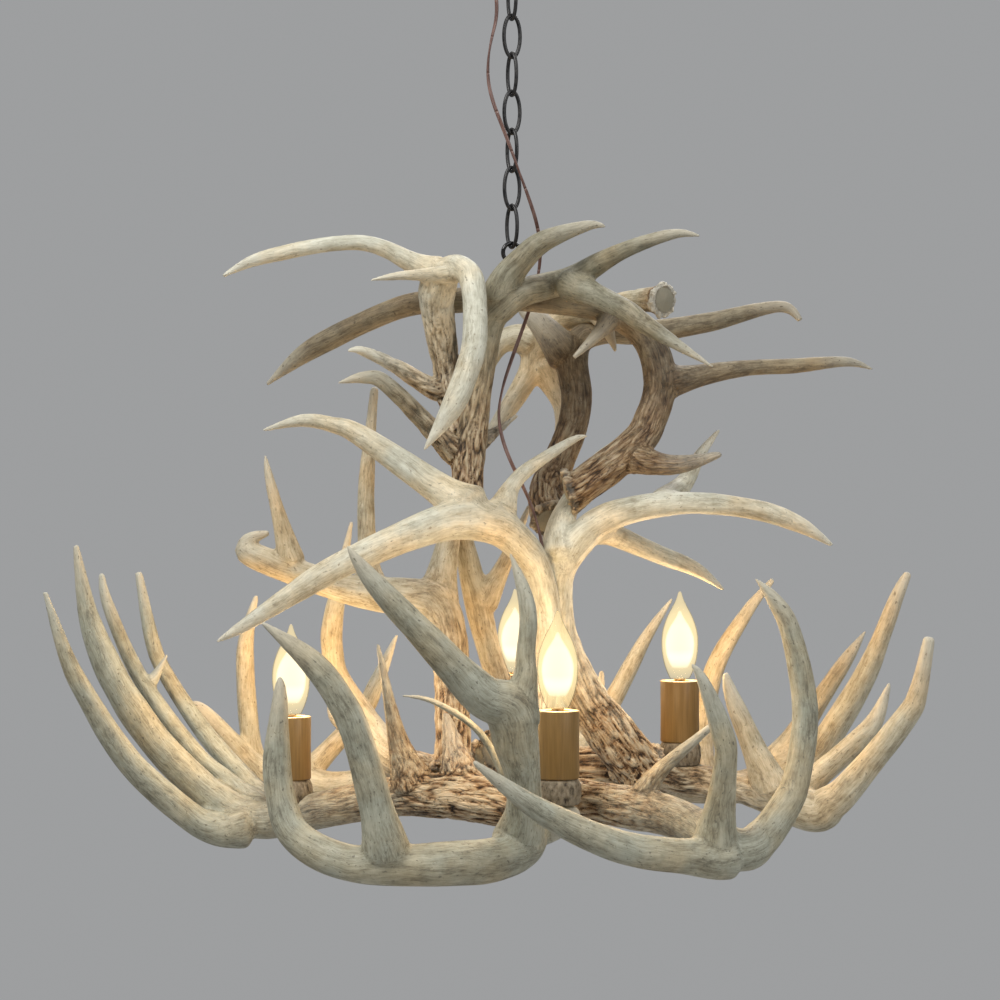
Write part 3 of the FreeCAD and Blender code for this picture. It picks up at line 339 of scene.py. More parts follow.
BULB_LIGHT = 35.0  # strength of the glow for all but the camera

LINK_COUNT = 7
LINK_HALF_WIDTH = 8.25 * MM
LINK_HALF_HEIGHT = 19.3 * MM
LINK_WIRE = 1.75 * MM
LINK_PITCH = 34.8 * MM
FIRST_LINK = -78.25 * MM
LINK_LEVELS = [FIRST_LINK - i * LINK_PITCH for i in range(LINK_COUNT)]
FIRST_EVEN_AZIMUTH = 24.0
CHAIN_TWIST = 1.5
WIRE_SIDES = 14
OVAL_STEPS = 72
LOOP_CENTRE = -53.0 * MM
LOOP_RADIUS = 10.0 * MM
LOOP_WIRE = 2.0 * MM
EYE_RADIUS = 8.85 * MM
EYE_WIRE = 1.95 * MM
EYE_AZIMUTH = 22.0
# Closed outlines of turned parts on the chain's axis: radius, height under the ceiling.
BOSS = [(0.0051, -0.0345), (0.0058, -0.034), (0.007, -0.0348), (0.007, -0.0412),
        (0.0045, -0.0443), (0.0, -0.0443), (0.0, -0.0398), (0.0051, -0.0398)]
COLLAR = [(0.0052, -0.034), (0.008, -0.034), (0.009, -0.033), (0.009, -0.029),
          (0.008, -0.028), (0.0052, -0.028)]
CANOPY_WALL = 0.0012
CANOPY_BORE = 0.0052
CANOPY_BOTTOM = -0.028
CANOPY = [(0.034, CANOPY_BOTTOM), (0.0487, -0.0243), (0.0595, -0.0168), (0.0632, -0.004),
          (0.0635, 0.0)]

CORD_DIAMETER = 3.4 * MM
CORD_SIDES = 24
TWIN_TWIST = 28.0  # radians to a metre
CORD_ROUTE = [
    (-20, -8, 292), (-20, -8, 274), (-18, -9, 253), (-14, -11, 232), (-14, -12, 212),
    (-19, -13, 193), (-22, -14, 174), (-22, -15, 154), (-17, -15, 134), (-9, -15, 114),
    (-1, -15, 93), (7, -13, 71), (15, -8, 50), (22, 0, 30), (26, 10, 11),
    (26, 19, -9), (22, 23, -30), (16, 20, -51), (8, 11, -74), (-1, 0, -99),
    (-9, -12, -124), (-13, -22, -149), (-9, -26, -172), (0, -28, -195), (11, -29, -216),
    (20, -31, -238), (26, -35, -260), (28, -39, -279), (31, -42, -297),
]

# Dark, light, roughness, specks to a metre, metallic.
METALS = {
    "brass": ((0.20, 0.17, 0.12), (0.50, 0.45, 0.34), 0.3, 220.0, 1.0),
    "black_metal": ((0.006, 0.006, 0.007), (0.045, 0.042, 0.04), 0.32, 260.0, 0.0),
    "gloss_black": ((0.004, 0.004, 0.004), (0.02, 0.02, 0.02), 0.08, 120.0, 0.0),
    "zinc_steel": ((0.36, 0.36, 0.36), (0.62, 0.61, 0.60), 0.3, 200.0, 1.0),
    "black_plastic": ((0.012, 0.012, 0.012), (0.04, 0.04, 0.04), 0.45, 150.0, 0.0),
}


# ---- node helpers
def material(name):
    """An empty node material: itself, its tree and its main shader."""
    made = bpy.data.materials.new(name)
    made.use_nodes = True
    return made, made.node_tree, made.node_tree.nodes["Principled BSDF"]


def feed(made, inputs):
    """Links or sets inputs of a node."""
    for key, value in inputs.items():
        if isinstance(value, bpy.types.NodeSocket):
            made.id_data.links.new(value, made.inputs[key])
        else:
            made.inputs[key].default_value = value


def node(kind, inputs, tree=None, **settings):
    """A node with its settings and inputs, in the tree of its links if no tree is given."""
    sockets = [value for value in inputs.values() if isinstance(value, bpy.types.NodeSocket)]
    made = (tree or sockets[0].id_data).nodes.new("ShaderNode" + kind)
    for key, value in settings.items():
        setattr(made, key, value)
    feed(made, inputs)
    return made


def coordinates(tree, kind="Object"):
    """Where on its object a shaded point lies."""
    return node("TexCoord", {}, tree).outputs[kind]


def stretched(source, scale):
    """Coordinates stretched by a factor along each axis."""
    made = node("VectorMath", {0: source, 1: scale}, operation="MULTIPLY")
    return made.outputs[0]


def noise_of(source, scale, detail=2.0, roughness=0.5, output="Fac"):
    """Noise with a number of cells to a metre along each axis."""
    vector = stretched(source, scale)
    made = node("TexNoise", {"Vector": vector, "Scale": 1.0, "Detail": detail,
                             "Roughness": roughness})
    return made.outputs[output]


def ramp(value, stops):
    """A ramp over a value, from (place, colour or plain level) stops."""
    made = node("ValToRGB", {"Fac": value})
    while len(made.color_ramp.elements) < len(stops):
        made.color_ramp.elements.new(0.5)
    for element, (place, shade) in zip(made.color_ramp.elements, stops):
        element.position = place
        element.color = (*(shade if isinstance(shade, tuple) else (shade,) * 3), 1.0)
    return made.outputs["Color"]


def mix(share, low, high, mode="MIX"):
    """One colour mixed over another."""
    low, high = [(*part, 1.0) if isinstance(part, tuple) else part for part in (low, high)]
    made = node("Mix", {0: share, 6: low, 7: high}, data_type="RGBA", blend_type=mode)
    return made.outputs[2]


def maths(operation, a, b, clamp=False):
    """One arithmetic node."""
    made = node("Math", {0: a, 1: b}, operation=operation, use_clamp=clamp)
    return made.outputs[0]


def times(a, b, clamp=False):
    """The product of two values."""
    return maths("MULTIPLY", a, b, clamp)


def weighed(*terms):
    """The sum of values, each times its weight."""
    total = times(*terms[0])
    for term in terms[1:]:
        total = maths("ADD", total, times(*term))
    return total


def skin(shader, colour, roughness, height, strength, distance):
    """Colour, roughness and relief of a surface."""
    relief = node("Bump", {"Height": height, "Strength": strength, "Distance": distance})
    feed(shader, {"Base Color": colour, "Roughness": roughness, "Normal": relief.outputs[0]})


def shader_mix(share, low, high):
    """One shader mixed over another."""
    return node("MixShader", {0: share, 1: low.outputs[0], 2: high.outputs[0]})


def emission(tree, colour, strength):
    """A shader that gives light."""
    return node("Emission", {"Color": (*colour, 1.0), "Strength": strength}, tree)


# ---- materials
def bone(tone):
    """Shed antler: wavy grain, fine cracks, pearled brown base, rubbed pale ridges and tips; the
    relief's hollows are darkened partly by stain, partly by painted shade.
    """
    pale, body, groove = TONES[tone]
    made, tree, shader = material("bone_" + tone)
    straight = node("Attribute", {}, tree, attribute_name="grain").outputs["Vector"]
    stain, tip, relief, sawn = [
        node("Attribute", {}, tree, attribute_name=label).outputs["Fac"]
        for label in ("stain", "tip", "relief", "sawn")]
    place = coordinates(tree)

    drift = noise_of(straight, (60, 60, 34), output="Color")
    sway = node("VectorMath", {0: drift, 1: (0.5, 0.5, 0.5)}, operation="SUBTRACT").outputs[0]
    grain = node("VectorMath", {0: sway, 1: (SWAY, SWAY, 0.0), 2: straight},
                 operation="MULTIPLY_ADD").outputs[0]
    fibre, streak, furrow, speck = [noise_of(grain, *each) for each in GRAIN_NOISES]
    mottle = noise_of(place, (85, 85, 85), 8.0, 0.66)
    patch = noise_of(place, (16, 16, 16), 4.0, 0.55)
    pearls = node("TexVoronoi", {"Vector": stretched(grain, PEARL_CELLS),
                                 "Scale": 1.0}, feature="DISTANCE_TO_EDGE")
    pearl = ramp(pearls.outputs["Distance"], [(0.02, 0), (0.22, 1)])
    crease = ramp(maths("ABSOLUTE", maths("SUBTRACT", furrow, 0.5), 0.0), [(0.0, 0), (0.05, 1)])

    # the relief term darkens the skin's hollows and pales its raised parts: partly stain and
    # rubbing, partly painted shade
    blend = weighed((fibre, 0.34), (streak, 0.26), (mottle, 0.26), (relief, 0.13))
    colour = ramp(blend, [(0.31, groove), (0.40, body), (0.51, pale)])
    warm = mix(1.0, colour, WARM_TINT, "MULTIPLY")
    cool = mix(1.0, colour, COOL_TINT, "MULTIPLY")
    colour = mix(ramp(patch, [(0.42, 0), (0.66, 1)]), cool, warm)
    lines = times(ramp(crease, [(0.0, 1), (0.6, 0)]), ramp(streak, [(0.44, 0.55), (0.52, 0)]))
    colour = mix(lines, colour, groove)

    # relief, creases and pearl edges make the brown darkest in the skin's hollows: partly stain,
    # partly painted shade
    ridges = weighed((pearl, 0.10), (crease, 0.10), (relief, 0.24), (fibre, 0.46), (mottle, 0.34))
    depth = STAIN_DEPTH.get(tone, 1.0)
    browned = ramp(ridges, [(at, tuple(depth * part for part in shade)) for at, shade in STAINS])
    reach = times(stain, ramp(mottle, [(0.34, 1.5), (0.64, 0.7)]), True)
    colour = mix(reach, colour, browned)
    colour = mix(times(tip, 0.55, True), colour, TIP_BONE)
    colour = mix(ramp(speck, [(0.65, 0), (0.71, 0.8)]), colour, groove)
    saw_marks = noise_of(place, (900, 240, 240), 4.0)
    colour = mix(sawn, colour, mix(saw_marks, FACE_BONE, FACE_SAW_MARKS))

    rough = ramp(blend, [(0.27, 0.72), (0.53, 0.44)])
    fine = weighed((fibre, 0.34), (crease, 0.12), (mottle, 0.40))
    deep = times(maths("ADD", pearl, crease), times(stain, 0.75))
    height = times(maths("ADD", fine, deep), maths("ADD", times(sawn, -0.9), 1.0))
    skin(shader, colour, rough, height, 0.7, 0.0016)
    return made


def burr_slice():
    """The pitted, pearled side of a slice of burr."""
    made, tree, shader = material("burr_slice")
    place = coordinates(tree)
    pits = noise_of(place, (300, 300, 130), 3.0, 0.55)
    grit = noise_of(place, (130, 130, 130), 7.0, 0.66)
    value = weighed((pits, 0.5), (grit, 0.5))
    colour = ramp(value, [(0.38, (0.035, 0.022, 0.012)), (0.46, (0.16, 0.125, 0.077)),
                          (0.60, (0.31, 0.255, 0.175))])
    skin(shader, colour, 0.7, value, 0.9, 0.0016)
    return made


def candle_wood():
    """Waxed wood with fine upright grain, paler on its faces that point up."""
    made, tree, shader = material("candle_wood")
    place = coordinates(tree)
    normal = node("NewGeometry", {}, tree).outputs["Normal"]
    up = node("SeparateXYZ", {0: normal}).outputs["Z"]
    grain = noise_of(place, (420, 420, 22), 7.0, 0.6)
    broad = noise_of(place, (70, 70, 6), 3.0)
    colour = ramp(weighed((grain, 0.6), (broad, 0.4)),
                  [(0.32, (0.172, 0.098, 0.028)), (0.5, (0.235, 0.137, 0.040)),
                   (0.70, (0.31, 0.19, 0.064))])
    # faces that point up, the top rim, are made paler
    colour = mix(maths("GREATER_THAN", up, 0.6), colour, (0.72, 0.55, 0.33))
    skin(shader, colour, 0.42, grain, 0.35, 0.0005)
    return made


def metal(name):
    """Coated or plain metal or plastic with uneven sheen and small worn spots."""
    dark, light, roughness, wear, metallic = METALS[name]
    made, tree, shader = material(name)
    spots = noise_of(coordinates(tree), (wear, wear, wear), 8.0, 0.65)
    colour = ramp(spots, [(0.40, dark), (0.72, light)])
    sheen = ramp(spots, [(0.35, roughness), (0.7, roughness + 0.22)])
    skin(shader, colour, sheen, spots, 0.25, 0.0004)
    feed(shader, {"Metallic": metallic})
    return made


def flex_jacket():
    """Brown plastic flex, rubbed paler in places."""
    made, tree, shader = material("cord_jacket")
    rub = noise_of(coordinates(tree), (140, 140, 40), 5.0, 0.6)
    colour = ramp(rub, [(0.35, (0.105, 0.048, 0.036)), (0.68, (0.25, 0.15, 0.125))])
    skin(shader, colour, 0.38, rub, 0.2, 0.0004)
    return made


def veiled(tree, light, through, facing, levels):
    """A light that fades towards its outline and its ends."""
    edge = node("LayerWeight", {"Blend": 0.5}, tree).outputs["Facing"]
    place = coordinates(tree, "Generated")
    level = node("SeparateXYZ", {0: place}).outputs["Z"]
    share = times(ramp(edge, facing), ramp(level, levels))
    return shader_mix(share, through, light)


def surface_only(name, seen_of):
    """A material whose whole surface is the shader that a function makes in its tree."""
    made, tree, shader = material(name)
    tree.nodes.remove(shader)
    feed(tree.nodes["Material Output"], {"Surface": seen_of(tree).outputs[0]})
    return made


def clear_glass(tree):
    """Thin clear bulb glass, hazy with the light inside it, glossy towards its edge."""
    ripple = noise_of(coordinates(tree), (60, 60, 60))
    relief = node("Bump", {"Height": ripple, "Strength": 0.08, "Distance": 0.001})
    through = node("BsdfTransparent", {"Color": (1.0, 0.985, 0.94, 1.0)}, tree)
    lit = veiled(tree, emission(tree, (1.0, 0.81, 0.44), 1.15), through,
                 [(0.0, 0.80), (0.45, 0.66), (0.85, 0.40), (1.0, 0.70)],
                 [(0.0, 0.30), (0.14, 0.62), (0.34, 1.0), (0.66, 0.95), (0.86, 0.50), (1.0, 0.42)])
    gloss = node("BsdfGlossy", {"Roughness": 0.05, "Normal": relief.outputs[0]})
    rim = node("LayerWeight", {"Blend": 0.04}, tree).outputs["Fresnel"]
    return shader_mix(rim, lit, gloss)


def glow(tree):
    """The dazzle round a lit filament, which fades outwards and lights what is round it."""
    through = node("BsdfTransparent", {"Color": (1.0, 1.0, 1.0, 1.0)}, tree)
    lit = veiled(tree, emission(tree, (1.0, 0.93, 0.78), 2.6), through,
                 [(0.0, 1.0), (0.45, 0.8), (0.92, 0.0)],
                 [(0.0, 0.10), (0.22, 0.8), (0.40, 1.0), (0.72, 0.9), (1.0, 0.10)])
    seen = node("LightPath", {}, tree).outputs["Is Camera Ray"]
    return shader_mix(seen, emission(tree, (1.0, 0.68, 0.355), BULB_LIGHT), lit)


# ---- mesh tools
def linked(name, data):
    """An object in the scene."""
    made = bpy.data.objects.new(name, data)
    bpy.context.scene.collection.objects.link(made)
    return made


def mesh_object(name, vertices, faces, surface, smooth=True):
    """A mesh piece with one material."""
    mesh = bpy.data.meshes.new(name)
    mesh.from_pydata([tuple(v) for v in vertices], [], faces)
    mesh.validate()
    mesh.materials.append(surface)
    mesh.polygons.foreach_set("use_smooth", [smooth] * len(mesh.polygons))
    return linked(name, mesh)


def give(piece, body, slot, *nodes):
    """Puts a piece on its body in place of its nodes; its slot is not used."""
    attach(piece, body)
    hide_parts(*nodes)


def steps_of(points):
    """Distance from each point to the next."""
    return np.linalg.norm(np.diff(points, axis=0), axis=1)


def curve_through(points, step):
    """Points every step along a smooth curve through rows of numbers."""
    rows = np.array(points, float)
    found = []
    for i in range(len(rows) - 1):
        before, a = rows[max(i - 1, 0)], rows[i]
        b, after = rows[i + 1], rows[min(i + 2, len(rows) - 1)]
        count = max(2, int(np.linalg.norm(b[:3] - a[:3]) / step))
        for k in range(count):
            t = k / count
            found.append(0.5 * (2 * a + (b - before) * t
                                + (2 * before - 5 * a + 4 * b - after) * t ** 2
                                + (3 * a - before - 3 * b + after) * t ** 3))
    found.append(rows[-1])
    return np.array(found)


def carried_frames(centres):
    """Tangents and steadily carried side vectors along a curve."""
    ahead = np.gradient(centres, axis=0)
    tangents = ahead / np.linalg.norm(ahead, axis=1)[:, None]
    sides = np.empty_like(centres)
    steep = abs(tangents[0][2]) >= 0.8
    side = np.cross(tangents[0], (1.0, 0.0, 0.0) if steep else (0.0, 0.0, 1.0))
    for i, tangent in enumerate(tangents):
        side = side - tangent * side.dot(tangent)
        side /= np.linalg.norm(side)
        sides[i] = side
    return tangents, sides


def ring_faces(rings, count, closed=False):
    """Faces between rings of as many points; closed joins the last ring to the first."""
    faces = []
    for i in range(rings if closed else rings - 1):
        j = (i + 1) % rings
        for k in range(count):
            n = (k + 1) % count
            faces.append((i * count + k, i * count + n, j * count + n, j * count + k))
    return faces


def tube(centres, radii, dome):
    """Vertices and faces of a tube with domed ends."""
    tangents, sides = carried_frames(centres)
    others = np.cross(tangents, sides)
    count, total = TUBE_SIDES, len(centres)
    turns = 2 * np.pi * np.arange(count) / count
    rings = centres[:, None] + radii[:, None, None] * (
        np.cos(turns)[None, :, None] * sides[:, None]
        + np.sin(turns)[None, :, None] * others[:, None])
    vertices = list(rings.reshape(-1, 3))
    faces = ring_faces(total, count)
    for end, sign in ((0, -1), (total - 1, 1)):
        tip = len(vertices)
        vertices.append(centres[end] + tangents[end] * (dome * radii[end] * sign))
        for k in range(count):
            corners = (end * count + k, end * count + (k + 1) % count, tip)
            faces.append(corners[::sign])
    return vertices, faces


def lathe(profile, count):
    """Vertices and faces of a turned piece from a closed (radius, height) outline."""
    vertices, faces, rows = [], [], []
    for radius, height in profile:
        sides = count if radius > 0 else 1
        rows.append([len(vertices) + k for k in range(sides)])
        for k in range(sides):
            turn = 2 * math.pi * k / count
            vertices.append((radius * math.cos(turn), radius * math.sin(turn), height))
    for row, after in zip(rows, rows[1:] + rows[:1]):
        if len(row) == len(after) == 1:
            continue
        for k in range(count):
            n = (k + 1) % count
            corners = (row[k % len(row)], row[n % len(row)],
                       after[n % len(after)], after[k % len(after)])
            faces.append(tuple(dict.fromkeys(corners)))
    return vertices, faces


def baked(piece):
    """Applies a piece's modifiers."""
    bpy.context.view_layer.update()
    graph = bpy.context.evaluated_depsgraph_get()
    mesh = bpy.data.meshes.new_from_object(piece.evaluated_get(graph))
    old = piece.data
    piece.modifiers.clear()
    piece.data = mesh
    bpy.data.meshes.remove(old)


def turned(name, profile, surface, place, bevel, count):
    """A turned piece with rounded edges at its place."""
    vertices, faces = lathe(profile, count)
    x, y, z = place
    made = mesh_object(name, [(a + x, b + y, c + z) for a, b, c in vertices], faces, surface)
    edges = made.modifiers.new("edges", "BEVEL")
    edges.width = bevel
    edges.segments = 2
    edges.limit_method = "ANGLE"
    edges.angle_limit = math.radians(35)
    baked(made)
    made.data.polygons.foreach_set("use_smooth", [True] * len(made.data.polygons))
    return made


# ---- antlers
def runs_of(stations):
    """Smooth samples of each beam and tine: centre, radius, way along, way to the tip."""
    runs = []
    for index, run in enumerate(stations):
        rows = np.array(run, float) * MM
        rows[:, 2] += EYE_CENTRE
        samples = curve_through(rows, SAMPLE_STEP)
        centre = samples[:, :3]
        along = np.concatenate([[0.0], np.cumsum(steps_of(centre))])
        to_tip = along[-1] - along
        start, root = 0.0, 1.0
        if index:
            nearest = np.linalg.norm(runs[0]["centre"] - centre[0], axis=1).argmin()
            start, root = runs[0]["along"][nearest], runs[0]["radius"][nearest]
        tangent, side = carried_frames(centre)
        runs.append({"centre": centre, "radius": np.maximum(samples[:, 3], LEAST_RADIUS),
                     "root": root, "along": along + start, "to_tip": to_tip,
                     "tangent": tangent, "side": side})
    return runs


def joined_mesh(name, runs, surface, seed):
    """Beam and tines as uneven tubes, joined into one skin on a fine grid and eased."""
    vertices, faces = [], []
    for index, run in enumerate(runs):
        way = run["along"] - run["along"][0]
        lumps = [noise.noise(Vector((seed * 2.3, index * 5.1, s * LUMPS))) for s in way]
        radii = run["radius"] * (1 + UNEVEN * np.array(lumps))
        if index == 0:
            radii *= 1 + BURR_FLARE * np.exp(-(way / BURR_REACH) ** 2)
        else:
            radii *= 1 + FORK_FLARE * np.exp(-(way / FORK_REACH) ** 2)
            radii = np.minimum(radii, FORK_SHARE * run["root"] + FORK_OPENING * way)
        made, sides = tube(run["centre"], radii, TINE_DOME if index else BEAM_DOME)
        offset = len(vertices)
        vertices += made
        faces += [tuple(k + offset for k in face) for face in sides]
    piece = mesh_object(name + "_bone", vertices, faces, surface)
    grid = piece.modifiers.new("grid", "REMESH")
    grid.mode = "VOXEL"
    grid.voxel_size = VOXEL
    grid.use_smooth_shade = True
    ease = piece.modifiers.new("ease", "SMOOTH")
    ease.factor = 0.6
    ease.iterations = EASING
    baked(piece)
    return piece


def grown_along(points, runs):
    """For each point: grain coordinates, way from the burr, way to the tip."""
    centre, radius, along, to_tip, tangent, side = [
        np.concatenate([run[key] for run in runs])
        for key in ("centre", "radius", "along", "to_tip", "tangent", "side")]
    best = np.empty(len(points), int)
    for start in range(0, len(points), BLOCK):
        block = points[start:start + BLOCK]
        reach = np.linalg.norm(block[:, None] - centre[None], axis=2) - radius[None]
        best[start:start + BLOCK] = reach.argmin(axis=1)
    offset = points - centre[best]
    forward = (offset * tangent[best]).sum(1)
    other = np.cross(tangent[best], side[best])
    burr_way = along[best] + forward
    grain = np.stack([(offset * side[best]).sum(1), (offset * other).sum(1), burr_way], axis=1)
    return grain, burr_way, to_tip[best] - forward


def weathering(grain, burr_way, tip_way, pearling, seed):
    """Height of furrows, pearls and the burr's crown over the plain skin, in metres."""
    shift = Vector((seed * 3.1, seed * 1.7, 0))

    def wave(x, y, z, across, lengthwise):
        """Noise with a number of cells to a metre across the grain and along it."""
        return noise.noise(Vector((x * across, y * across, z * lengthwise)) + shift)

    heights = np.empty(len(grain))
    base = np.clip(1.35 - burr_way / (PEARLED_REACH * pearling), 0, 1) * min(pearling, 1.25)
    fade = np.clip(tip_way / 0.05, 0.12, 1.0)
    crown = np.exp(-((burr_way - 0.002) / CROWN_REACH) ** 2)
    for i, (x, y, z) in enumerate(grain):
        wander = WANDER * wave(x, y, z, 45, 36)
        long = wave(x + wander, y - wander, z, 150, 22)
        wide = wave(x, y, z, 55, 16)
        height = WAVE_HEIGHT * fade[i] * (long + 1.3 * wide)
        if base[i] > 0.03:
            ridge = wave(x + wander, y - wander, z, 240, 26)
            knob = wave(x, y, z, 260, 90)
            furrow = max(0.0, 1 - abs(ridge) * 4.0)
            height += base[i] * (RIDGE_HEIGHT * abs(ridge) + KNOB_HEIGHT * knob
                                 - FURROW_DEPTH * furrow * furrow + BASE_SWELL)
        if crown[i] > 0.05:
            height += crown[i] * (CROWN_HEIGHT * wave(x, y, z, 150, 110)
                                  + CROWN_GRIT * wave(x, y, z, 330, 330))
        heights[i] = height
    return heights


def vertex_rows(mesh, field):
    """A vector of each vertex of a mesh, in rows."""
    values = np.empty(len(mesh.vertices) * 3)
    mesh.vertices.foreach_get(field, values)
    return values.reshape(-1, 3)


def antler(name, surface, brown_reach, pearling, stations, seed):
    """One antler: skin, relief, sawn seat and the attributes that its material reads."""
    runs = runs_of(stations)
    piece = joined_mesh(name, runs, surface, seed)
    mesh = piece.data
    points = vertex_rows(mesh, "co")
    grain, burr_way, tip_way = grown_along(points, runs)
    heights = weathering(grain, burr_way, tip_way, pearling, seed)
    from_axis = np.hypot(grain[:, 0], grain[:, 1]) / runs[0]["radius"][0]
    face = (burr_way < FACE_DEPTH) & (from_axis < FACE_SHARE)
    rim = (burr_way < RIM_DEPTH) & (from_axis > FACE_SHARE)
    rim_white = 1.6 if brown_reach < CLEAN_BURR else 0.3
    heights[face] = 0.0
    points = points + vertex_rows(mesh, "normal") * heights[:, None]
    sawn = np.where(face, 1.0, 0.0)
    for x, y, z, owner in CANDLES.values():
        if owner == name:
            level = z * MM + EYE_CENTRE
            near = np.hypot(points[:, 0] - x * MM, points[:, 1] - y * MM) < SEAT_RADIUS + 2 * MM
            above = near & (points[:, 2] > level) & (points[:, 2] < level + 2 * SEAT_HEIGHT)
            points[above, 2] = level
            sawn[above] = 1.0
    mesh.vertices.foreach_set("co", points.ravel())
    for label, values in (("stain", np.clip(1.15 - burr_way / brown_reach, 0, 1)),
                          ("tip", np.where(rim, rim_white, np.clip(1 - tip_way / PALE_TIP, 0, 1))),
                          ("relief", np.clip(heights / RIDGE_HEIGHT, -1, 1)), ("sawn", sawn)):
        layer = mesh.attributes.new(label, "FLOAT", "POINT")
        layer.data.foreach_set("value", values.astype(np.float32))
    layer = mesh.attributes.new("grain", "FLOAT_VECTOR", "POINT")
    layer.data.foreach_set("vector", grain.astype(np.float32).ravel())
    mesh.update()
    give(piece, "lamp", "antler", name)


# ---- the candles
def roughen(piece, centre):
    """Pearled relief on the upright side of a seat."""
    for vertex in piece.data.vertices:
        away = Vector((vertex.co.x - centre[0], vertex.co.y - centre[1], 0))
        if away.length > 0.8 * SEAT_RADIUS and abs(vertex.normal.z) < 0.9:
            at = vertex.co * SEAT_PEARLS
            lump = noise.noise(at) + 0.5 * noise.noise(at * 2.3)
            vertex.co += away.normalized() * (SEAT_RELIEF * min(lump, 0.4))
    piece.data.update()


def candle(place, at, surfaces):
    """Burr slice, sleeve, threaded base, glowing filament and clear bulb on one axis."""
    side = [(SEAT_RADIUS + out, up) for out, up in SEAT_SIDE]
    profile = [(SLEEVE_BORE, side[0][1])] + side + [(SLEEVE_BORE, SEAT_HEIGHT)]
    seat = turned("seat_" + place, profile, surfaces["burr_slice"], at, 0.0004, 72)
    roughen(seat, at)
    give(seat, "lamp", "burr_slice", "candle_seat_" + place)

    profile = [(SLEEVE_BORE, SEAT_HEIGHT), (SLEEVE_RADIUS - 0.0004, SEAT_HEIGHT),
               (SLEEVE_RADIUS, SEAT_HEIGHT + 0.001), (SLEEVE_RADIUS - 0.0002, 0.05),
               (SLEEVE_RADIUS, SLEEVE_TOP), (SLEEVE_BORE, SLEEVE_TOP)]
    sleeve = turned("sleeve_" + place, profile, surfaces["candle_wood"], at, 0.0009, 64)
    give(sleeve, "lamp", "candle_wood", "candle_sleeve_" + place)

    profile = [(0.0, BASE_BOTTOM), (BASE_RADIUS * 0.6, BASE_BOTTOM),
               (BASE_RADIUS * 0.94, BASE_BOTTOM + 0.003)]
    for i in range(THREAD_TURNS):
        low = BASE_BOTTOM + 0.004 + i * THREAD_PITCH
        profile += [(BASE_RADIUS * 0.92, low), (BASE_RADIUS, low + THREAD_PITCH / 2)]
    profile += [(BASE_RADIUS * 0.9, BASE_TOP - 0.0015), (BASE_RADIUS, BASE_TOP), (0.0, BASE_TOP)]
    base = turned("screw_base_" + place, profile, surfaces["brass"], at, 0.0002, 40)
    give(base, "bulb_" + place, "brass", "bulb_base_" + place)

    rows = [(r * BULB_RADIUS, BASE_TOP + h * BULB_HEIGHT, 0) for r, h in BULB_PROFILE]
    outer = [(r, h) for r, h, _ in curve_through(rows, BULB_STEP)]
    bulb = turned("bulb_" + place, [(0.0, BASE_TOP)] + outer, surfaces["bulb_glass"], at,
                  0.0001, 56)
    bulb.visible_shadow = False
    give(bulb, "bulb_" + place, "bulb_glass", "bulb_glass_" + place)

    inner = [(GLOW_WIDTH * r, GLOW_BOTTOM + (h - BASE_TOP) * GLOW_HEIGHT) for r, h in outer]
    heart = turned("glow_" + place, [(0.0, GLOW_BOTTOM)] + inner, surfaces["glow"], at, 0.0001, 40)
    heart.visible_shadow = False
    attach(heart, "bulb_" + place)


# ---- chain and fittings
def azimuth(index):
    """Heading of a link's plane in degrees; index 0 is the canopy's loop."""
    return FIRST_EVEN_AZIMUTH + CHAIN_TWIST * index - 90 * (index % 2)


def wire_oval(name, half_width, half_height, wire, heading, level, surface):
    """An upright oval of bent wire."""
    turn = math.radians(heading)
    angles = 2 * np.pi * np.arange(OVAL_STEPS) / OVAL_STEPS
    centres = np.stack([half_width * np.sin(angles) * math.cos(turn),
                        half_width * np.sin(angles) * math.sin(turn),
                        half_height * np.cos(angles) + level], axis=1)
    normal = np.array((-math.sin(turn), math.cos(turn), 0.0))
    vertices = []
    for i, centre in enumerate(centres):
        ahead = centres[(i + 1) % OVAL_STEPS] - centres[i - 1]
        outward = np.cross(ahead / np.linalg.norm(ahead), normal)
        for k in range(WIRE_SIDES):
            angle = 2 * math.pi * k / WIRE_SIDES
            vertices.append(centre + wire * (math.cos(angle) * outward + math.sin(angle) * normal))
    return mesh_object(name, vertices, ring_faces(OVAL_STEPS, WIRE_SIDES, True), surface)


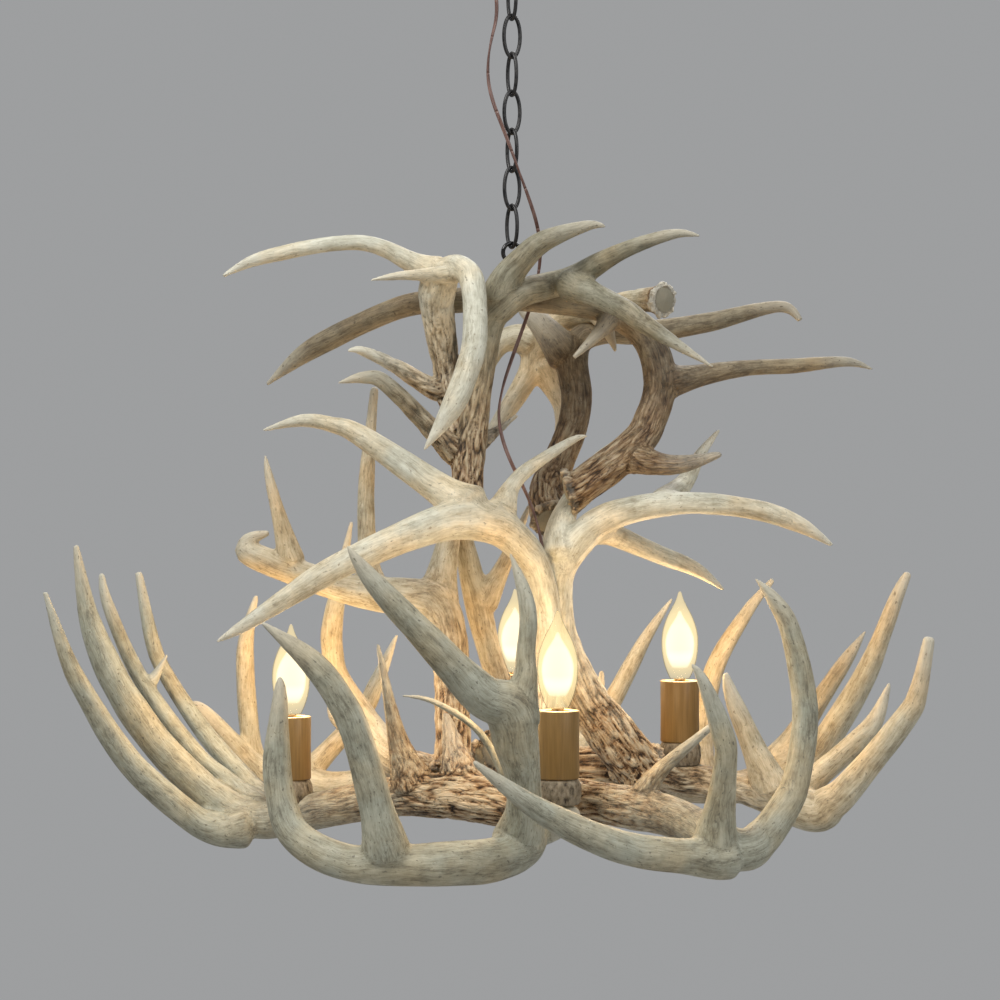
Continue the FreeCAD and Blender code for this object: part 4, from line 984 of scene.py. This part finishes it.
def hanging_parts(surfaces):
    """The chain, the eye, the loop, the collar and the canopy."""
    black, gloss = surfaces["black_metal"], surfaces["gloss_black"]
    for index, level in enumerate(LINK_LEVELS, 1):
        link = wire_oval("link_piece_%d" % index, LINK_HALF_WIDTH, LINK_HALF_HEIGHT, LINK_WIRE,
                         azimuth(index), level, black)
        give(link, "link_%d" % index, "black_metal", "chain_link_%d" % index)

    ring = wire_oval("eye_ring", EYE_RADIUS, EYE_RADIUS, EYE_WIRE, EYE_AZIMUTH, EYE_CENTRE, gloss)
    give(ring, "lamp", "gloss_black_metal")
    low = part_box("hanging_eye")[0][2]
    top = EYE_CENTRE - EYE_RADIUS
    profile = [(0, low), (0.0016, low), (0.0025, low + 0.004), (0.0026, top - 0.004),
               (0.0034, top - 0.002), (0.0026, top), (0, top)]
    shank = turned("eye_shank", profile, gloss, (0, 0, 0), 0.0002, 32)
    give(shank, "lamp", "gloss_black_metal", "hanging_eye")

    loop = wire_oval("loop_ring", LOOP_RADIUS, LOOP_RADIUS, LOOP_WIRE, azimuth(0), LOOP_CENTRE,
                     black)
    give(loop, "ceiling_fitting", "black_metal")
    inside = [(r - CANOPY_WALL, min(z + CANOPY_WALL, -0.0002)) for r, z in CANOPY[::-1]]
    dish = ([(CANOPY_BORE, CANOPY_BOTTOM)] + CANOPY + inside
            + [(CANOPY_BORE, CANOPY_BOTTOM + CANOPY_WALL)])
    for name, profile, bevel, count, replaced in (
            ("loop_boss", BOSS, 0.0004, 40, "canopy_loop"),
            ("collar", COLLAR, 0.0004, 48, "collar_ring"),
            ("canopy_dish", dish, 0.0008, 96, "canopy")):
        piece = turned(name, profile, black, (0, 0, 0), bevel, count)
        give(piece, "ceiling_fitting", "black_metal", replaced)


# ---- the cord
def twin_tube(centres, turned_by):
    """Two wires side by side in one jacket, with a groove between them, gently twisted."""
    tangents, sides = carried_frames(centres)
    others = np.cross(tangents, sides)
    angles = 2 * np.pi * np.arange(CORD_SIDES) / CORD_SIDES
    wide = CORD_DIAMETER / 2 * np.cos(angles)
    thick = CORD_DIAMETER / 2 * np.sign(np.sin(angles)) * (
        0.40 + 0.26 * np.abs(np.sin(2 * angles))) * np.abs(np.sin(angles)) ** 0.5
    vertices = []
    for centre, side, other, turn in zip(centres, sides, others, turned_by):
        across = side * math.cos(turn) + other * math.sin(turn)
        up = other * math.cos(turn) - side * math.sin(turn)
        vertices += [centre + across * w + up * t for w, t in zip(wide, thick)]
    faces = ring_faces(len(centres), CORD_SIDES)
    faces.append(tuple(range(CORD_SIDES))[::-1])
    faces.append(tuple(range(len(vertices) - CORD_SIDES, len(vertices))))
    return vertices, faces


def supply_cord(surface):
    """The brown flex, in one stretch for each joint of the chain that it passes."""
    data = bpy.data.curves.new("route", "CURVE")
    data.dimensions = "3D"
    spline = data.splines.new("NURBS")
    spline.points.add(len(CORD_ROUTE) - 1)
    for point, (x, y, z) in zip(spline.points, CORD_ROUTE):
        point.co = (x * MM, y * MM, z * MM + EYE_CENTRE, 1.0)
    spline.order_u = 3
    spline.use_endpoint_u = True
    spline.resolution_u = 10
    route = linked("route", data)
    line = bpy.data.meshes.new_from_object(route)
    path = np.array([v.co[:] for v in line.vertices])
    bpy.data.objects.remove(route)
    if path[0][2] < path[-1][2]:
        path = path[::-1]
    turned_by = np.concatenate([[0.0], np.cumsum(steps_of(path))]) * TWIN_TWIST

    joints = [LOOP_CENTRE - LOOP_RADIUS] + [level - LINK_HALF_HEIGHT for level in LINK_LEVELS]
    names = ["ceiling_fitting"] + ["link_%d" % i for i in range(1, LINK_COUNT + 1)] + ["lamp"]
    half = LINK_PITCH / 2
    cuts = [joints[0] + half] + [z - half for z in joints]
    edges = [0] + [int(np.abs(path[:, 2] - level).argmin()) for level in cuts] + [len(path) - 1]
    for i, (first, last) in enumerate(zip(edges, edges[1:])):
        part = path[first:last + 1]
        vertices, faces = twin_tube(part, turned_by[first:last + 1])
        piece = mesh_object("flex_%d" % i, vertices, faces, surface)
        if i == 0:
            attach(piece, names[0])
        elif i > len(joints):
            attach(piece, names[-1])
        else:
            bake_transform(piece)
        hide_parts("supply_cord")


# ---- the stage
def area_light(name, place, size, energy, colour):
    """A soft lamp aimed at the middle of the picture."""
    lamp = bpy.data.lights.new(name, "AREA")
    lamp.shape = "DISK"
    lamp.size = size
    lamp.energy = energy
    lamp.color = colour
    made = linked(name, lamp)
    made.location = place
    aim = Vector((0, 0, CAMERA_LEVEL)) - Vector(place)
    made.rotation_euler = aim.to_track_quat("-Z", "Y").to_euler()


def studio():
    """Camera, soft lamps, pale surroundings and a pale floor."""
    scene = bpy.context.scene
    scene.view_settings.view_transform = "Standard"
    data = bpy.data.cameras.new("photo_camera")
    data.sensor_width = SENSOR
    data.lens = LENS
    data.clip_end = 50
    camera = linked("photo_camera", data)
    camera.location = (CAMERA_SIDE, -CAMERA_DISTANCE, CAMERA_LEVEL)
    camera.rotation_euler = (math.pi / 2, 0, 0)
    scene.camera = camera
    for name, settings in LAMPS.items():
        area_light(name, *settings)

    world = bpy.data.worlds.new("studio")
    world.use_nodes = True
    scene.world = world
    tree = world.node_tree
    seen = node("LightPath", {}, tree).outputs["Is Camera Ray"]
    way = coordinates(tree, "Generated")
    rise = node("SeparateXYZ", {0: way}).outputs["Z"]
    sky = ramp(maths("ADD", times(rise, 0.5), 0.5), SKY)
    soft = node("Background", {"Color": sky, "Strength": 1.0}, tree)
    wall = node("Background", {"Color": WALL_COLOUR, "Strength": 1.0}, tree)
    both = shader_mix(seen, soft, wall)
    feed(tree.nodes["World Output"], {"Surface": both.outputs[0]})

    made, tree, shader = material("floor")
    mottled = noise_of(coordinates(tree), (5, 5, 5), 5.0)
    feed(shader, {"Base Color": ramp(mottled, FLOOR_COLOURS), "Roughness": 0.8})
    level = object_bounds()[0][2] - FLOOR_DROP
    half = FLOOR_WIDTH / 2
    corners = [(x * half, y * half, level) for x, y in ((-1, -1), (1, -1), (1, 1), (-1, 1))]
    mesh_object("studio_floor", corners, [(0, 1, 2, 3)], made, smooth=False)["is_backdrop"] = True


# ---- assembly
def paint(name, surface):
    """Gives a carried-over node its material."""
    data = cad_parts[name].data
    data.materials.clear()
    data.materials.append(surface)


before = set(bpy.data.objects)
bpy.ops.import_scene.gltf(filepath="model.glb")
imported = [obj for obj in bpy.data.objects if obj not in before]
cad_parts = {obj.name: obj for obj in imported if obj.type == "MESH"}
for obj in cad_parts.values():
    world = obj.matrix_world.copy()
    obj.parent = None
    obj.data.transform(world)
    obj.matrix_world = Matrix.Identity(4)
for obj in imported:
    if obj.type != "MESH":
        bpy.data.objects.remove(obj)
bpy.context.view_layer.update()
surfaces = {
    "burr_slice": burr_slice(),
    "candle_wood": candle_wood(),
    "bulb_glass": surface_only("bulb_glass_clear", clear_glass),
    "glow": surface_only("filament_glow", glow),
}
for metal_name in METALS:
    surfaces[metal_name] = metal(metal_name)
bones = {tone: bone(tone) for tone in TONES}
for number, (key, (tone, brown, pearled, *beams)) in enumerate(ANTLERS.items()):
    antler("antler_" + key, bones[tone], brown, pearled, beams, number)
for side_name, (seat_x, seat_y, seat_z, _) in CANDLES.items():
    candle(side_name, (seat_x * MM, seat_y * MM, seat_z * MM + EYE_CENTRE), surfaces)
    paint("candle_socket_" + side_name, surfaces["black_plastic"])
hanging_parts(surfaces)
supply_cord(flex_jacket())
for plain in ("mounting_crossbar", "threaded_nipple", "nipple_locknut", "antler_pins"):
    paint(plain, surfaces["zinc_steel"])
for plain in ("cord_bushing", "wire_nut"):
    paint(plain, surfaces["black_plastic"])
studio()
